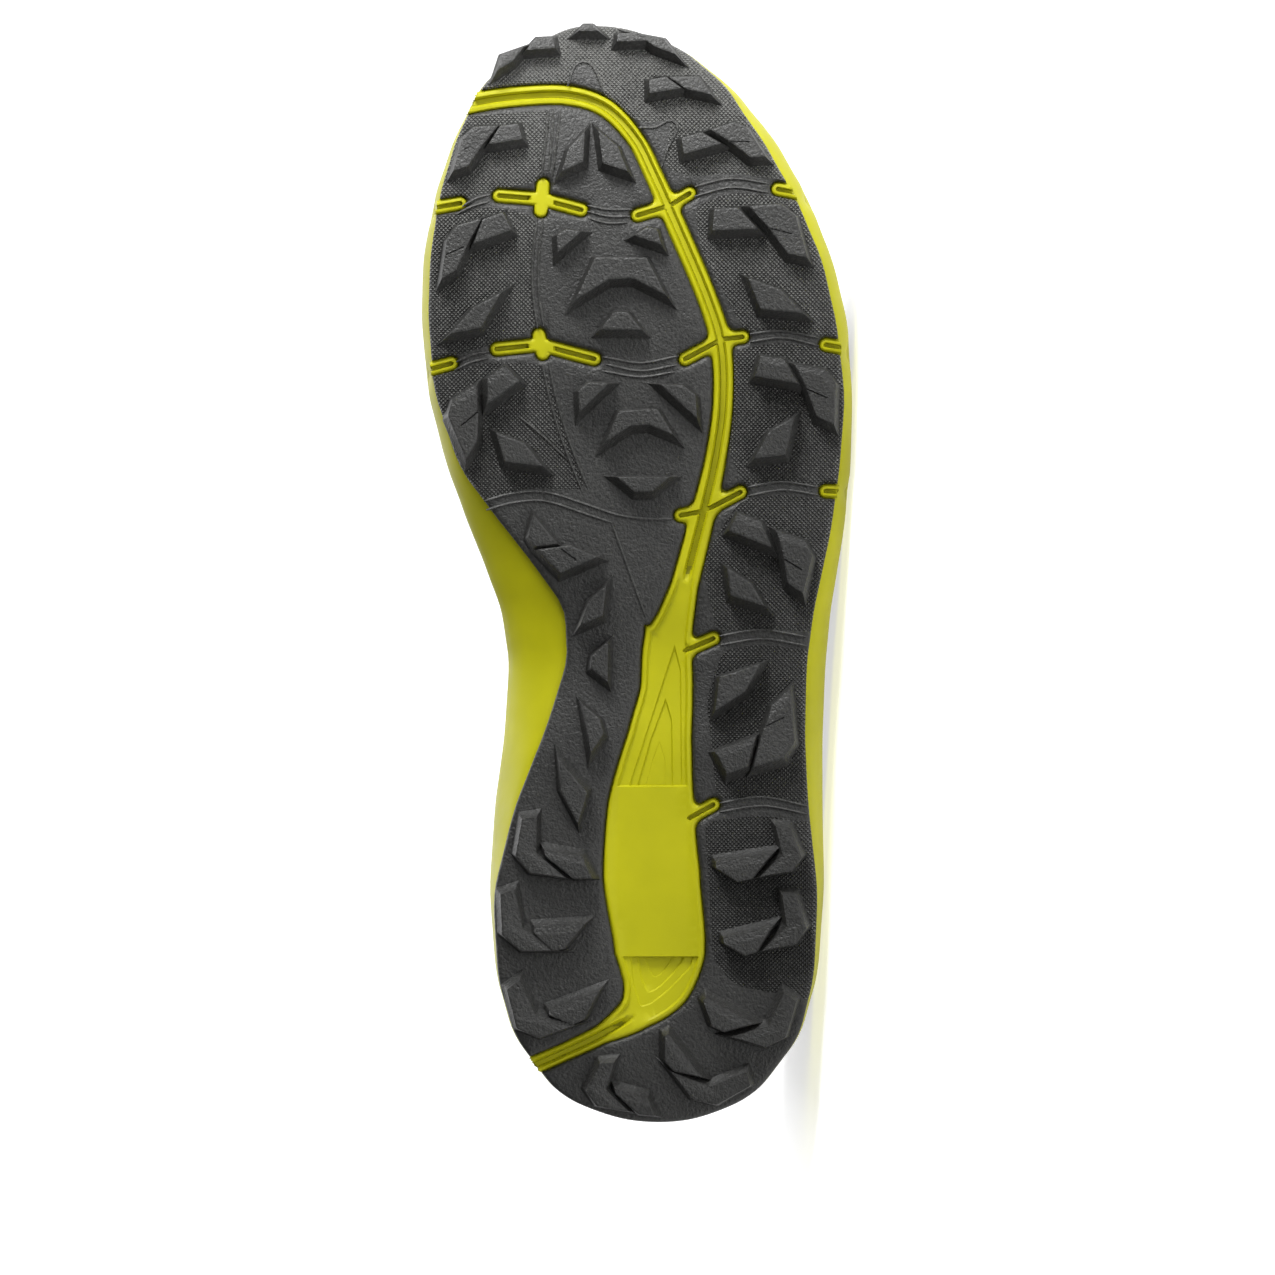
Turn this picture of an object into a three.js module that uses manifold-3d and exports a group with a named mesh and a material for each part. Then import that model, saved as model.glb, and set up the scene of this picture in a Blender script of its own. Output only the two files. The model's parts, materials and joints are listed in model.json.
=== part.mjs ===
// A left low-cut hiking shoe that lies on its lateral side, sole to -Y and toe to +X.
// Millimetres, +Z up, origin on the floor under the middle of the shoe.
//
// The pieces are worked out in the shoe's own frame: x runs from the heel (0) to the toe,
// y to the lateral side, z up from the plane that the lugs of heel and forefoot share.
// The last step lays the shoe down on the three points that it really rests on.

import * as THREE from 'three';
import { ConvexHull } from 'three/addons/math/ConvexHull.js';
import { mergeVertices } from 'three/addons/utils/BufferGeometryUtils.js';
import Module from 'manifold-3d';

const wasm = await Module();
wasm.setup();

// Overall sizes
const SOLE_LENGTH = 300;
const BALL_WIDTH = 118;
const TOE_SPRING = 17;
const HEEL_BEVEL = 4;
const ARCH_RISE = 1.6;

// Outsole
const PLATE = 2.6;
const LUG_HEIGHT = 4.5;
const LUG_DRAFT = 1.1;
const LUG_LEAN = 0.9;
const SLOT_WIDTH = 3.6;
const LIP = 1.3;
const GROOVE_WIDTH = 2.0;
const GROOVE_DEPTH = 1.4;
const WINDOW_DEPTH = 1.0;
const PLATEAU_MARGIN = 2.6;

// Midsole
const HEEL_STACK = 24;
const FOREFOOT_STACK = 13;
const RIM_HEIGHT = 4;
const RIM_WIDTH = 2.6;
const RIM_ROUND = 1.2;
const SIDE_GROOVE = 1.2;

// Upper, tongue and insole
const WALL = 2.2;
const OVERLAY = 0.9;
const COLLAR_HEIGHT = 72;
const TONGUE_THICKNESS = 3;
const TONGUE_TOP_LENGTH = 34;
const TONGUE_CROWN = 0.05;
const INSOLE_THICKNESS = 4;
const EYELET_DIAMETER = 5;
const LACE_DIAMETER = 3.6;

// Clearances between pieces that meet
const GAP = 0.3;
const SOFT_GAP = 1.3;
const LACE_GAP = 1.6;

// Where the sole's long curve bends, as shares of its length
const TOE_BREAK = 0.70;
const HEEL_BREAK = 0.11;
const ARCH_FROM = 0.33;
const ARCH_TO = 0.50;
const STACK_FROM = 0.22;
const STACK_TO = 0.66;

// Finish of the facets
const LOOP_POINTS = 60;
const CURVE_STEPS = 36;
const CHANNEL_STEPS = 2;
const LACE_SIDES = 8;
const LACE_STEPS = 2;
const TONGUE_ROWS = 10;
const TONGUE_COLUMNS = 8;

const HALF_WIDTH = BALL_WIDTH / 2;
const BELOW = -60;
const ABOVE = 160;

// A table's first line names its columns, and each row below is one station
function table(columns, rows) {
  const names = columns.split(' ');
  return rows.map((row) => Object.fromEntries(names.map((name, i) => [name, row[i]])));
}

// Outline of the whole sole and of its rubber. along: share of the length from the heel.
// The others are shares of half the ball's width, from the middle line, + to the lateral side.
const OUTLINE = table('along medial lateral medialRubber lateralRubber', [
  [0.000, 0.11, 0.11, 0.10, 0.10],
  [0.021, -0.32, 0.50, -0.31, 0.49],
  [0.075, -0.56, 0.74, -0.55, 0.73],
  [0.130, -0.65, 0.83, -0.64, 0.81],
  [0.210, -0.685, 0.865, -0.66, 0.83],
  [0.290, -0.66, 0.86, -0.56, 0.79],
  [0.350, -0.62, 0.86, -0.44, 0.775],
  [0.420, -0.60, 0.875, -0.33, 0.785],
  [0.470, -0.64, 0.90, -0.35, 0.82],
  [0.530, -0.755, 0.95, -0.57, 0.885],
  [0.590, -0.87, 0.985, -0.80, 0.93],
  [0.660, -0.965, 0.995, -0.93, 0.955],
  [0.730, -1.00, 0.97, -0.965, 0.915],
  [0.790, -0.99, 0.895, -0.955, 0.84],
  [0.850, -0.93, 0.77, -0.905, 0.705],
  [0.905, -0.83, 0.60, -0.815, 0.54],
  [0.950, -0.70, 0.40, -0.69, 0.375],
  [0.982, -0.49, 0.17, -0.48, 0.16],
  [1.000, -0.21, -0.21, -0.21, -0.21],
]);

// Middle line and half width of the foam strip that parts the rubber in two, from the toe's
// medial side down to the window under the arch and out again beside the heel
const CHANNEL = table('along across half', [
  [0.915, -0.98, 0.045],
  [0.928, -0.77, 0.046],
  [0.935, -0.52, 0.046],
  [0.935, -0.31, 0.045],
  [0.924, -0.15, 0.042],
  [0.895, -0.01, 0.037],
  [0.864, 0.07, 0.038],
  [0.822, 0.165, 0.042],
  [0.745, 0.33, 0.042],
  [0.708, 0.385, 0.045],
  [0.655, 0.395, 0.045],
  [0.603, 0.36, 0.047],
  [0.555, 0.305, 0.055],
  [0.489, 0.218, 0.062],
  [0.458, 0.175, 0.085],
  [0.435, 0.14, 0.112],
  [0.393, 0.134, 0.120],
  [0.352, 0.104, 0.146],
  [0.290, 0.064, 0.198],
  [0.225, 0.065, 0.222],
  [0.153, 0.104, 0.206],
  [0.123, 0.074, 0.160],
  [0.100, -0.01, 0.085],
  [0.080, -0.17, 0.042],
  [0.064, -0.34, 0.038],
  [0.040, -0.62, 0.042],
]);
const WINDOW_FROM = 0.115;
const WINDOW_TO = 0.445;
const PLATEAU_FROM = 0.155;
const PLATEAU_TO = 0.305;

// Narrow slots through the rubber, with the foam showing in them
const SLOTS = table('fromAlong fromAcross toAlong toAcross', [
  [0.829, -1.02, 0.836, -0.82],
  [0.680, -1.05, 0.690, -0.86],
  [0.843, -0.64, 0.830, -0.26],
  [0.703, -0.65, 0.694, -0.20],
  [0.853, -0.437, 0.829, -0.447],
  [0.716, -0.456, 0.699, -0.437],
  [0.834, 0.15, 0.825, 0.00],
  [0.834, 0.15, 0.845, 0.24],
  [0.712, 0.39, 0.694, 0.22],
  [0.712, 0.39, 0.714, 0.485],
  [0.556, 0.31, 0.552, 0.20],
  [0.556, 0.31, 0.573, 0.475],
  [0.429, 0.22, 0.440, 0.35],
  [0.277, 0.24, 0.289, 0.35],
  [0.840, 0.88, 0.849, 0.65],
  [0.700, 1.06, 0.707, 0.87],
  [0.573, 1.06, 0.574, 0.87],
]);

// Flat top of each kind of lug: along its long edge (0 tail, 1 head) and beside it (share of
// the row's depth)
const LUG_FORMS = {
  claw: [[0, 0], [0.53, 0.05], [1, 0], [0.70, 0.87], [0.40, 1], [-0.25, 0.43]],
  paddle: [[0, 0], [0.27, -0.36], [0.60, -0.25], [1, 0], [0.76, 0.9], [0.53, 1]],
  block: [[0, 0], [1, 0], [0.94, 0.97], [0.42, 1]],
  leaf: [[0, 0], [0.52, -0.4], [1, 0], [0.42, 1]],
  fang: [[0, 0], [1, 0], [0.66, 0.9], [0.34, 1]],
  arch: [[0, 0], [0.24, 1], [0.80, 0.94], [1, 0], [0.64, 0.45], [0.38, 0.45]],
  wedge: [[0, 0], [1, 0], [0.66, 1], [0.34, 1]],
  hook: [[0, 0], [0.53, 0.45], [1, 0], [1.06, 0.40], [0.62, 1], [0.29, 0.84]],
  tooth: [[0, 0], [1, 0], [0.58, 0.95], [0.32, 1], [-0.02, 0.25]],
  fin: [[0, 0], [0.65, 1], [1, 0], [0.70, -0.75], [0.07, -0.35]],
};

// Each lug's long edge from tail to head, in the outline's shares, and its depth to the left
// of that edge, as a share of half the ball's width
const LUGS = table('kind tailAlong tailAcross headAlong headAcross depth', [
  ['wedge', 0.992, -0.263, 0.991, -0.199, -0.030],
  ['block', 0.976, -0.520, 0.978, -0.378, -0.058],
  ['leaf', 0.954, -0.675, 0.986, -0.434, -0.032],
  ['block', 0.985, 0.051, 0.984, -0.098, 0.042],
  ['leaf', 0.972, 0.180, 0.992, -0.006, 0.040],
  ['block', 0.941, 0.208, 0.936, 0.053, 0.068],
  ['leaf', 0.935, 0.344, 0.952, 0.139, 0.056],
  ['block', 0.890, 0.392, 0.880, 0.212, 0.080],
  ['claw', 0.877, 0.522, 0.903, 0.335, 0.107],
  ['block', 0.889, -0.692, 0.894, -0.529, -0.080],
  ['claw', 0.869, -0.783, 0.907, -0.641, -0.102],
  ['leaf', 0.864, -0.353, 0.902, -0.242, 0.066],
  ['leaf', 0.864, -0.041, 0.903, -0.183, -0.075],
  ['block', 0.798, -0.759, 0.811, -0.578, -0.095],
  ['claw', 0.774, -0.837, 0.822, -0.717, -0.103],
  ['leaf', 0.716, -0.869, 0.755, -0.623, 0.069],
  ['fang', 0.790, -0.370, 0.810, -0.254, -0.066],
  ['fang', 0.797, 0.114, 0.806, -0.018, 0.066],
  ['arch', 0.747, -0.289, 0.751, 0.135, -0.195],
  ['wedge', 0.720, -0.176, 0.720, 0.022, -0.085],
  ['block', 0.812, 0.557, 0.810, 0.344, 0.105],
  ['claw', 0.789, 0.693, 0.833, 0.511, 0.142],
  ['leaf', 0.768, 0.507, 0.735, 0.767, 0.093],
  ['block', 0.651, -0.699, 0.674, -0.542, -0.103],
  ['paddle', 0.602, -0.792, 0.672, -0.740, -0.113],
  ['leaf', 0.628, -0.656, 0.596, -0.432, 0.090],
  ['fang', 0.645, -0.270, 0.672, -0.127, -0.078],
  ['fang', 0.639, 0.277, 0.671, 0.100, 0.078],
  ['arch', 0.618, -0.150, 0.624, 0.170, -0.140],
  ['wedge', 0.587, -0.102, 0.587, 0.153, 0.071],
  ['block', 0.671, 0.747, 0.678, 0.537, 0.105],
  ['claw', 0.641, 0.825, 0.690, 0.718, 0.144],
  ['leaf', 0.603, 0.535, 0.642, 0.726, 0.095],
  ['block', 0.522, 0.623, 0.538, 0.416, 0.098],
  ['claw', 0.490, 0.691, 0.539, 0.636, 0.142],
  ['leaf', 0.505, 0.409, 0.469, 0.591, 0.080],
  ['fang', 0.526, -0.365, 0.553, -0.480, -0.093],
  ['leaf', 0.521, -0.463, 0.514, -0.182, 0.097],
  ['leaf', 0.452, -0.267, 0.490, -0.141, 0.066],
  ['fang', 0.400, -0.136, 0.438, -0.134, -0.083],
  ['fang', 0.336, -0.216, 0.381, -0.255, 0.076],
  ['leaf', 0.271, -0.275, 0.330, -0.361, 0.085],
  ['leaf', 0.374, 0.356, 0.418, 0.573, -0.097],
  ['block', 0.353, 0.552, 0.338, 0.354, -0.124],
  ['paddle', 0.396, 0.706, 0.323, 0.532, -0.125],
  ['hook', 0.222, -0.329, 0.278, -0.464, -0.168],
  ['fin', 0.248, -0.431, 0.222, -0.205, -0.063],
  ['hook', 0.156, -0.358, 0.212, -0.564, -0.173],
  ['tooth', 0.178, -0.476, 0.181, -0.240, 0.115],
  ['hook', 0.089, -0.281, 0.130, -0.541, -0.185],
  ['tooth', 0.103, -0.411, 0.120, -0.175, 0.103],
  ['tooth', 0.237, 0.361, 0.245, 0.626, 0.107],
  ['hook', 0.223, 0.561, 0.269, 0.638, 0.159],
  ['tooth', 0.168, 0.396, 0.179, 0.626, 0.103],
  ['hook', 0.156, 0.573, 0.207, 0.667, 0.159],
  ['tooth', 0.114, 0.316, 0.090, 0.543, 0.105],
  ['hook', 0.078, 0.426, 0.118, 0.676, 0.163],
  ['tooth', 0.081, 0.143, 0.041, 0.302, 0.093],
  ['hook', 0.047, 0.149, 0.046, 0.502, 0.154],
  ['hook', 0.010, -0.039, 0.055, -0.108, -0.163],
  ['fin', 0.031, -0.104, 0.006, 0.083, -0.051],
]);

// Side of the midsole from the rubber up: share of the way out from the rubber's edge to the
// outline, share of the way up to the rim, and share of the side groove's depth
const MIDSOLE_SIDE = table('out up groove', [
  [0.00, 0.00, 0],
  [0.50, 0.16, 0],
  [0.90, 0.38, 0],
  [1.00, 0.54, 0],
  [1.00, 0.56, 1],
  [1.00, 0.64, 1],
  [1.00, 0.66, 0],
]);

// Opening of the upper. share: from the back of the collar (0) to the throat's front (1).
// medial and lateral: shares of half the ball's width; height: share of the collar's height.
const OPENING = table('share medial lateral height', [
  [0.00, 0.09, 0.09, 1.00],
  [0.06, -0.20, 0.38, 0.96],
  [0.20, -0.37, 0.53, 0.84],
  [0.36, -0.38, 0.52, 0.80],
  [0.50, -0.35, 0.46, 0.92],
  [0.60, -0.31, 0.40, 1.10],
  [0.68, -0.28, 0.34, 1.08],
  [0.80, -0.25, 0.25, 0.93],
  [0.92, -0.20, 0.15, 0.78],
  [1.00, -0.04, -0.04, 0.70],
]);
const COLLAR_BACK = 0.028;
const THROAT_FRONT = 0.655;
const OPENING_LEAD = 0.75;

// Form of the upper between the sole and its opening, ring by ring. In: share of the way in
// from the sole's rim to the opening's edge; up: share of the way up. The dome serves toe and
// forefoot, and the wall heel and ankle.
const UPPER_RINGS = table('level domeIn domeUp wallIn wallUp', [
  [0.00, 0.00, 0.00, 0.00, 0.00],
  [0.08, 0.00, 0.12, 0.00, 0.08],
  [0.15, -0.01, 0.23, -0.09, 0.16],
  [0.26, 0.01, 0.42, -0.12, 0.28],
  [0.28, 0.02, 0.44, -0.11, 0.30],
  [0.44, 0.13, 0.64, 0.03, 0.48],
  [0.58, 0.33, 0.77, 0.34, 0.64],
  [0.60, 0.36, 0.785, 0.38, 0.66],
  [0.76, 0.61, 0.89, 0.68, 0.80],
  [0.86, 0.78, 0.95, 0.84, 0.89],
  [0.88, 0.82, 0.96, 0.87, 0.91],
  [1.00, 1.00, 1.00, 1.00, 1.00],
]);
const DOME_FROM = 0.38;
const DOME_TO = 0.66;

// Overlays that stand proud of the upper's wall: from which to which share of the sole they
// run, and from which to which level of the wall
const OVERLAYS = table('from to low high', [
  [-1.00, 2.00, 0.00, 0.27],
  [0.83, 2.00, 0.00, 0.59],
  [-1.00, 0.20, 0.00, 0.59],
  [0.50, 2.00, 0.87, 1.00],
]);

// Eyelets along each side of the throat, and how high the lace arches over the tongue
const EYELET_ROWS = 5;
const EYELET_FROM = 0.53;
const EYELET_TO = 0.82;
const EYELET_LEVEL = 0.94;
const LACE_ARCH = 5;

// Tongue: where its rows begin and end as shares of a half turn, the level of the wall that
// its edges lie under, its rows under the vamp, and those of its free end
const TONGUE_FROM = 0.83;
const TONGUE_TO = 0.50;
const TONGUE_FRONT_LEVEL = 0.80;
const TONGUE_LEAST_TUCK = 0.01;
const TONGUE_FRONT = table('reach level', [
  [0.10, 0.80],
  [0.13, 0.90],
  [0.155, 1.00],
]);
const TONGUE_TOP = table('share width upright', [
  [0.30, 1.00, 0.10],
  [0.62, 0.96, 0.20],
  [0.86, 0.84, 0.26],
  [1.00, 0.60, 0.30],
]);

const RUBBER = 0x3c3c3b;
const FOAM = 0xc4c21c;
const MESH = 0x4a4b49;
const LINING = 0x2b2b2b;
const LACE = 0x9a9a2a;

const clamp = (value, low, high) => Math.min(Math.max(value, low), high);
const mix = (a, b, t) => a + (b - a) * t;

function smooth(from, to, value) {
  const t = clamp((value - from) / (to - from), 0, 1);
  return t * t * (3 - 2 * t);
}

// Smooth curve through one column of a table, over another column
function through(rows, key, column, warp = (value) => value) {
  const xs = rows.map((row) => warp(row[key]));
  const ys = rows.map((row) => row[column]);
  const last = xs.length - 1;
  const slopes = xs.map((_, i) => {
    const before = Math.max(i - 1, 0);
    const after = Math.min(i + 1, last);
    return (ys[after] - ys[before]) / (xs[after] - xs[before]);
  });
  return (x) => {
    let i = 0;
    while (i < last - 1 && x > xs[i + 1]) i += 1;
    const width = xs[i + 1] - xs[i];
    const t = clamp((x - xs[i]) / width, 0, 1);
    const a = ys[i] + slopes[i] * width * t * (1 - t) * (1 - t);
    const b = ys[i + 1] - slopes[i + 1] * width * t * t * (1 - t);
    return mix(a, b, t * t * (3 - 2 * t));
  };
}

// Long curve of the sole

// Height of the rubber's underside between the lugs, at x
function treadHeight(x) {
  const share = x / SOLE_LENGTH;
  const toe = Math.max(0, (share - TOE_BREAK) / (1 - TOE_BREAK));
  const heel = Math.max(0, (HEEL_BREAK - share) / HEEL_BREAK);
  const arch = Math.sin(Math.PI * clamp((share - ARCH_FROM) / (ARCH_TO - ARCH_FROM), 0, 1));
  return LUG_HEIGHT + TOE_SPRING * toe ** 2 + HEEL_BEVEL * heel ** 2 + ARCH_RISE * arch ** 2;
}

const foamHeight = (x) => treadHeight(x) + PLATE + GAP;

// Height of the midsole's bed, on which the insole lies
function bedHeight(x) {
  const stack = mix(HEEL_STACK, FOREFOOT_STACK, smooth(STACK_FROM, STACK_TO, x / SOLE_LENGTH));
  return foamHeight(x) + stack;
}

// Plan point from shares of the length and of half the ball's width
function planPoint(along, across) {
  return new THREE.Vector2(along * SOLE_LENGTH, across * HALF_WIDTH);
}

// Plan outlines. A turn runs once round the sole: 0 at the heel, up the lateral side, PI at the
// toe, and back down the medial side.

const halfTurn = (share) => Math.acos(1 - 2 * clamp(share, 0, 1));
const shareOf = (turn) => (1 - Math.cos(turn)) / 2;
const folded = (turn) => Math.PI - Math.abs(Math.PI - turn);

const outlineCurves = Object.fromEntries(
  ['medial', 'lateral', 'medialRubber', 'lateralRubber'].map(
    (column) => [column, through(OUTLINE, 'along', column, halfTurn)],
  ),
);

function edgeAt(turn, medial, lateral) {
  const around = (turn + 2 * Math.PI) % (2 * Math.PI);
  const column = around <= Math.PI ? lateral : medial;
  const across = outlineCurves[column](folded(around));
  return planPoint(shareOf(around), across);
}

const outlineAt = (turn) => edgeAt(turn, 'medial', 'lateral');
const rubberAt = (turn) => edgeAt(turn, 'medialRubber', 'lateralRubber');

// Point of the outline, moved in square to it
function insetAt(turn, inset) {
  const tangent = outlineAt(turn + 0.02).sub(outlineAt(turn - 0.02)).normalize();
  return outlineAt(turn).add(new THREE.Vector2(tangent.y, -tangent.x).multiplyScalar(inset));
}

// One point for each step of a turn. Point k and point LOOP_POINTS - k face each other.
function loop(make) {
  return Array.from({ length: LOOP_POINTS }, (_, k) => make((2 * Math.PI * k) / LOOP_POINTS));
}

// Moves each edge of a closed outline outwards by a distance, or inwards where it is negative
function spread(points, distance) {
  const sign = THREE.ShapeUtils.area(points) > 0 ? 1 : -1;
  return points.map((point, i) => {
    const before = points[(i + points.length - 1) % points.length];
    const after = points[(i + 1) % points.length];
    const a = new THREE.Vector2().subVectors(point, before).normalize();
    const b = new THREE.Vector2().subVectors(after, point).normalize();
    const normal = new THREE.Vector2(a.y + b.y, -a.x - b.x).normalize();
    const sharpness = Math.max(0.45, normal.x * a.y - normal.y * a.x);
    return point.clone().addScaledVector(normal, (sign * distance) / sharpness);
  });
}

// Solids

function manifoldOf(geometry) {
  const bare = geometry.clone();
  bare.deleteAttribute('normal');
  bare.deleteAttribute('uv');
  const merged = mergeVertices(bare, 1e-4);
  return new wasm.Manifold(new wasm.Mesh({
    numProp: 3,
    vertProperties: new Float32Array(merged.attributes.position.array),
    triVerts: new Uint32Array(merged.index.array),
  }));
}

function geometryOf(manifold) {
  const mesh = manifold.getMesh();
  const geometry = new THREE.BufferGeometry();
  geometry.setAttribute('position', new THREE.BufferAttribute(mesh.vertProperties.slice(), 3));
  geometry.setIndex(new THREE.BufferAttribute(mesh.triVerts.slice(), 1));
  geometry.computeVertexNormals();
  return geometry;
}

// Closed solid from points and triangles, turned so that its faces point out
function closedSolid(points, triangles) {
  let volume = 0;
  const normal = new THREE.Vector3();
  for (const [a, b, c] of triangles) {
    volume += points[a].dot(normal.crossVectors(points[b], points[c]));
  }
  const index = triangles.flatMap(([a, b, c]) => (volume > 0 ? [a, b, c] : [a, c, b]));
  const geometry = new THREE.BufferGeometry();
  geometry.setAttribute('position', new THREE.Float32BufferAttribute(points.flatMap((p) => p.toArray()), 3));
  geometry.setIndex(index);
  return manifoldOf(geometry);
}

function quad(a, b, c, d) {
  return [[a, b, c], [a, c, d]];
}

// Rings of equal counts joined into a skin: rings[i][k] to rings[i + 1][k]
function skin(rings) {
  const count = rings[0].length;
  const triangles = [];
  for (let i = 0; i < rings.length - 1; i += 1) {
    for (let k = 0; k < count; k += 1) {
      const next = (k + 1) % count;
      const low = i * count;
      triangles.push(...quad(low + k, low + next, low + count + next, low + count + k));
    }
  }
  return triangles;
}

// Cap of a loop, in strips between the points that face each other
function cap(first, flip) {
  const triangles = [];
  const half = LOOP_POINTS / 2;
  for (let k = 0; k < half; k += 1) {
    const mirrored = (LOOP_POINTS - k) % LOOP_POINTS;
    const strip = [first + k, first + k + 1, first + LOOP_POINTS - k - 1, first + mirrored];
    if (k === 0) triangles.push([strip[0], strip[1], strip[2]]);
    else if (k === half - 1) triangles.push([strip[0], strip[1], strip[3]]);
    else triangles.push(...quad(...strip));
  }
  return flip ? triangles.map(([a, b, c]) => [a, c, b]) : triangles;
}

// Solid of loops that lie on each other, with both ends capped
function stack(loops) {
  const top = (loops.length - 1) * LOOP_POINTS;
  return closedSolid(loops.flat(), [...skin(loops), ...cap(0, true), ...cap(top, false)]);
}

function raise(points, heightAt) {
  return points.map((point) => new THREE.Vector3(point.x, point.y, heightAt(point.x)));
}

// Upright prism over a plan outline
function prism(points) {
  const shape = new THREE.Shape(points);
  const geometry = new THREE.ExtrudeGeometry(shape, { depth: ABOVE - BELOW, bevelEnabled: false });
  return manifoldOf(geometry.translate(0, 0, BELOW));
}

// Layer that follows the sole's long curve, from one height above the tread to another
function layer(low, high) {
  const from = -0.1 * SOLE_LENGTH;
  const to = 1.1 * SOLE_LENGTH;
  const xs = Array.from({ length: CURVE_STEPS + 1 }, (_, i) => mix(from, to, i / CURVE_STEPS));
  const under = xs.map((x) => new THREE.Vector2(x, treadHeight(x) + low));
  const over = xs.map((x) => new THREE.Vector2(x, treadHeight(x) + high)).reverse();
  const shape = new THREE.Shape([...under, ...over]);
  const geometry = new THREE.ExtrudeGeometry(shape, { depth: 2 * BALL_WIDTH, bevelEnabled: false });
  return manifoldOf(geometry.rotateX(Math.PI / 2).translate(0, BALL_WIDTH, 0));
}

function joined(solids) {
  return solids.reduce((all, solid) => all.add(solid));
}

// Foam strip and its slots

const channelPath = new THREE.CatmullRomCurve3(
  CHANNEL.map((row) => new THREE.Vector3(row.along * SOLE_LENGTH, row.across * HALF_WIDTH, 0)),
  false,
  'centripetal',
);
const channelSamples = (CHANNEL.length - 1) * CHANNEL_STEPS;
const channelHalf = CHANNEL.map((row) => row.half * HALF_WIDTH);

// Edge of the strip, on its medial side (1) or lateral side (-1), where reach says how far
// from the middle line it lies for a given half width
function channelEdge(side, reach) {
  const spans = CHANNEL.length - 1;
  return Array.from({ length: channelSamples + 1 }, (_, i) => {
    const t = i / channelSamples;
    const at = channelPath.getPoint(t);
    const tangent = channelPath.getTangent(t);
    const row = Math.min(Math.floor(t * spans), spans - 1);
    const half = mix(channelHalf[row], channelHalf[row + 1], t * spans - row);
    const away = side * reach(half);
    return new THREE.Vector2(at.x - tangent.y * away, at.y + tangent.x * away);
  });
}

function channelOutline(reach) {
  return [...channelEdge(1, reach), ...channelEdge(-1, reach).reverse()];
}

// All that lies to the medial side of one edge of the strip, widened by the gap
function medialOf(side) {
  const edge = channelEdge(side, (half) => half + GAP);
  const far = -3 * HALF_WIDTH;
  return [...edge, new THREE.Vector2(edge.at(-1).x, far), new THREE.Vector2(edge[0].x, far)];
}

// Slot with round ends between two plan points
function slotOutline(row, width) {
  const from = planPoint(row.fromAlong, row.fromAcross);
  const to = planPoint(row.toAlong, row.toAcross);
  const heading = to.clone().sub(from).angle();
  const points = [];
  for (const [centre, start] of [[to, heading - Math.PI / 2], [from, heading + Math.PI / 2]]) {
    for (let i = 0; i <= 4; i += 1) {
      const angle = start + (Math.PI * i) / 4;
      const arm = new THREE.Vector2(Math.cos(angle), Math.sin(angle));
      points.push(centre.clone().addScaledVector(arm, width / 2));
    }
  }
  return points;
}

// Part of the plan between two stations
function between(from, to) {
  const corners = [planPoint(from, -3), planPoint(to, -3), planPoint(to, 3), planPoint(from, 3)];
  return prism(corners);
}

// Outsole

// Flat face of a lug, counter-clockwise
function lugOutline(row) {
  const tail = planPoint(row.tailAlong, row.tailAcross);
  const edge = planPoint(row.headAlong, row.headAcross).sub(tail);
  const left = new THREE.Vector2(-edge.y, edge.x).normalize().multiplyScalar(row.depth * HALF_WIDTH);
  const outline = LUG_FORMS[row.kind].map(
    ([u, v]) => tail.clone().addScaledVector(edge, u).addScaledVector(left, v),
  );
  return THREE.ShapeUtils.area(outline) > 0 ? outline : outline.reverse();
}

// Tapered lug with a flat face, square to the sole's curve under it. It leans so that the
// heel's lugs show their front slopes and the forefoot's their back slopes.
function lugSolid(row) {
  const face = lugOutline(row);
  const centre = face.reduce((sum, p) => sum.add(p), new THREE.Vector2()).divideScalar(face.length);
  const slope = (treadHeight(centre.x + 1) - treadHeight(centre.x - 1)) / 2;
  const ground = treadHeight(centre.x) - LUG_HEIGHT;
  const lean = row.tailAlong < ARCH_FROM ? LUG_LEAN : -LUG_LEAN;
  const foot = spread(face, LUG_DRAFT).map((p) => p.add(new THREE.Vector2(lean, 0)));
  const bury = LUG_HEIGHT + PLATE / 2;
  const count = face.length;
  const points = [
    ...face.map((p) => new THREE.Vector3(p.x, p.y, ground + slope * (p.x - centre.x))),
    ...foot.map((p) => new THREE.Vector3(p.x, p.y, ground + slope * (p.x - centre.x) + bury)),
  ];
  const flat = THREE.ShapeUtils.triangulateShape(face, []).map((triangle) => (
    THREE.ShapeUtils.area(triangle.map((i) => face[i])) > 0 ? triangle : triangle.reverse()
  ));
  const under = flat.map(([a, b, c]) => [a, c, b]);
  const over = flat.map(([a, b, c]) => [a + count, b + count, c + count]);
  return closedSolid(points, [...under, ...over, ...skin([face, foot])]);
}

// Rubber of one side of the strip: its plate and the lugs that stand on it. keep cuts a solid
// down to that side.
function outsole(keep, rows) {
  const plate = layer(0, PLATE).intersect(rubberPlan);
  const slots = SLOTS.map((row) => prism(slotOutline(row, SLOT_WIDTH + 2 * GAP)));
  return keep(plate.add(joined(rows.map(lugSolid)))).subtract(joined(slots));
}

function isInside(point, outline) {
  let inside = false;
  outline.forEach((a, i) => {
    const b = outline[(i + 1) % outline.length];
    const spans = (a.y > point.y) !== (b.y > point.y);
    const crossing = a.x + ((b.x - a.x) * (point.y - a.y)) / (b.y - a.y);
    if (spans && point.x < crossing) inside = !inside;
  });
  return inside;
}

const rubberPlan = prism(loop(rubberAt));
const medialLugs = LUGS.filter((row) => isInside(planPoint(row.tailAlong, row.tailAcross), medialOf(-1)));
const lateralLugs = LUGS.filter((row) => !medialLugs.includes(row));
const outsoleMedial = outsole((solid) => solid.intersect(prism(medialOf(1))), medialLugs);
const outsoleLateral = outsole((solid) => solid.subtract(prism(medialOf(-1))), lateralLugs);

// Midsole

const rimHeight = (x) => bedHeight(x) + RIM_HEIGHT;
const bedInset = RIM_ROUND + RIM_WIDTH;

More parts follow.
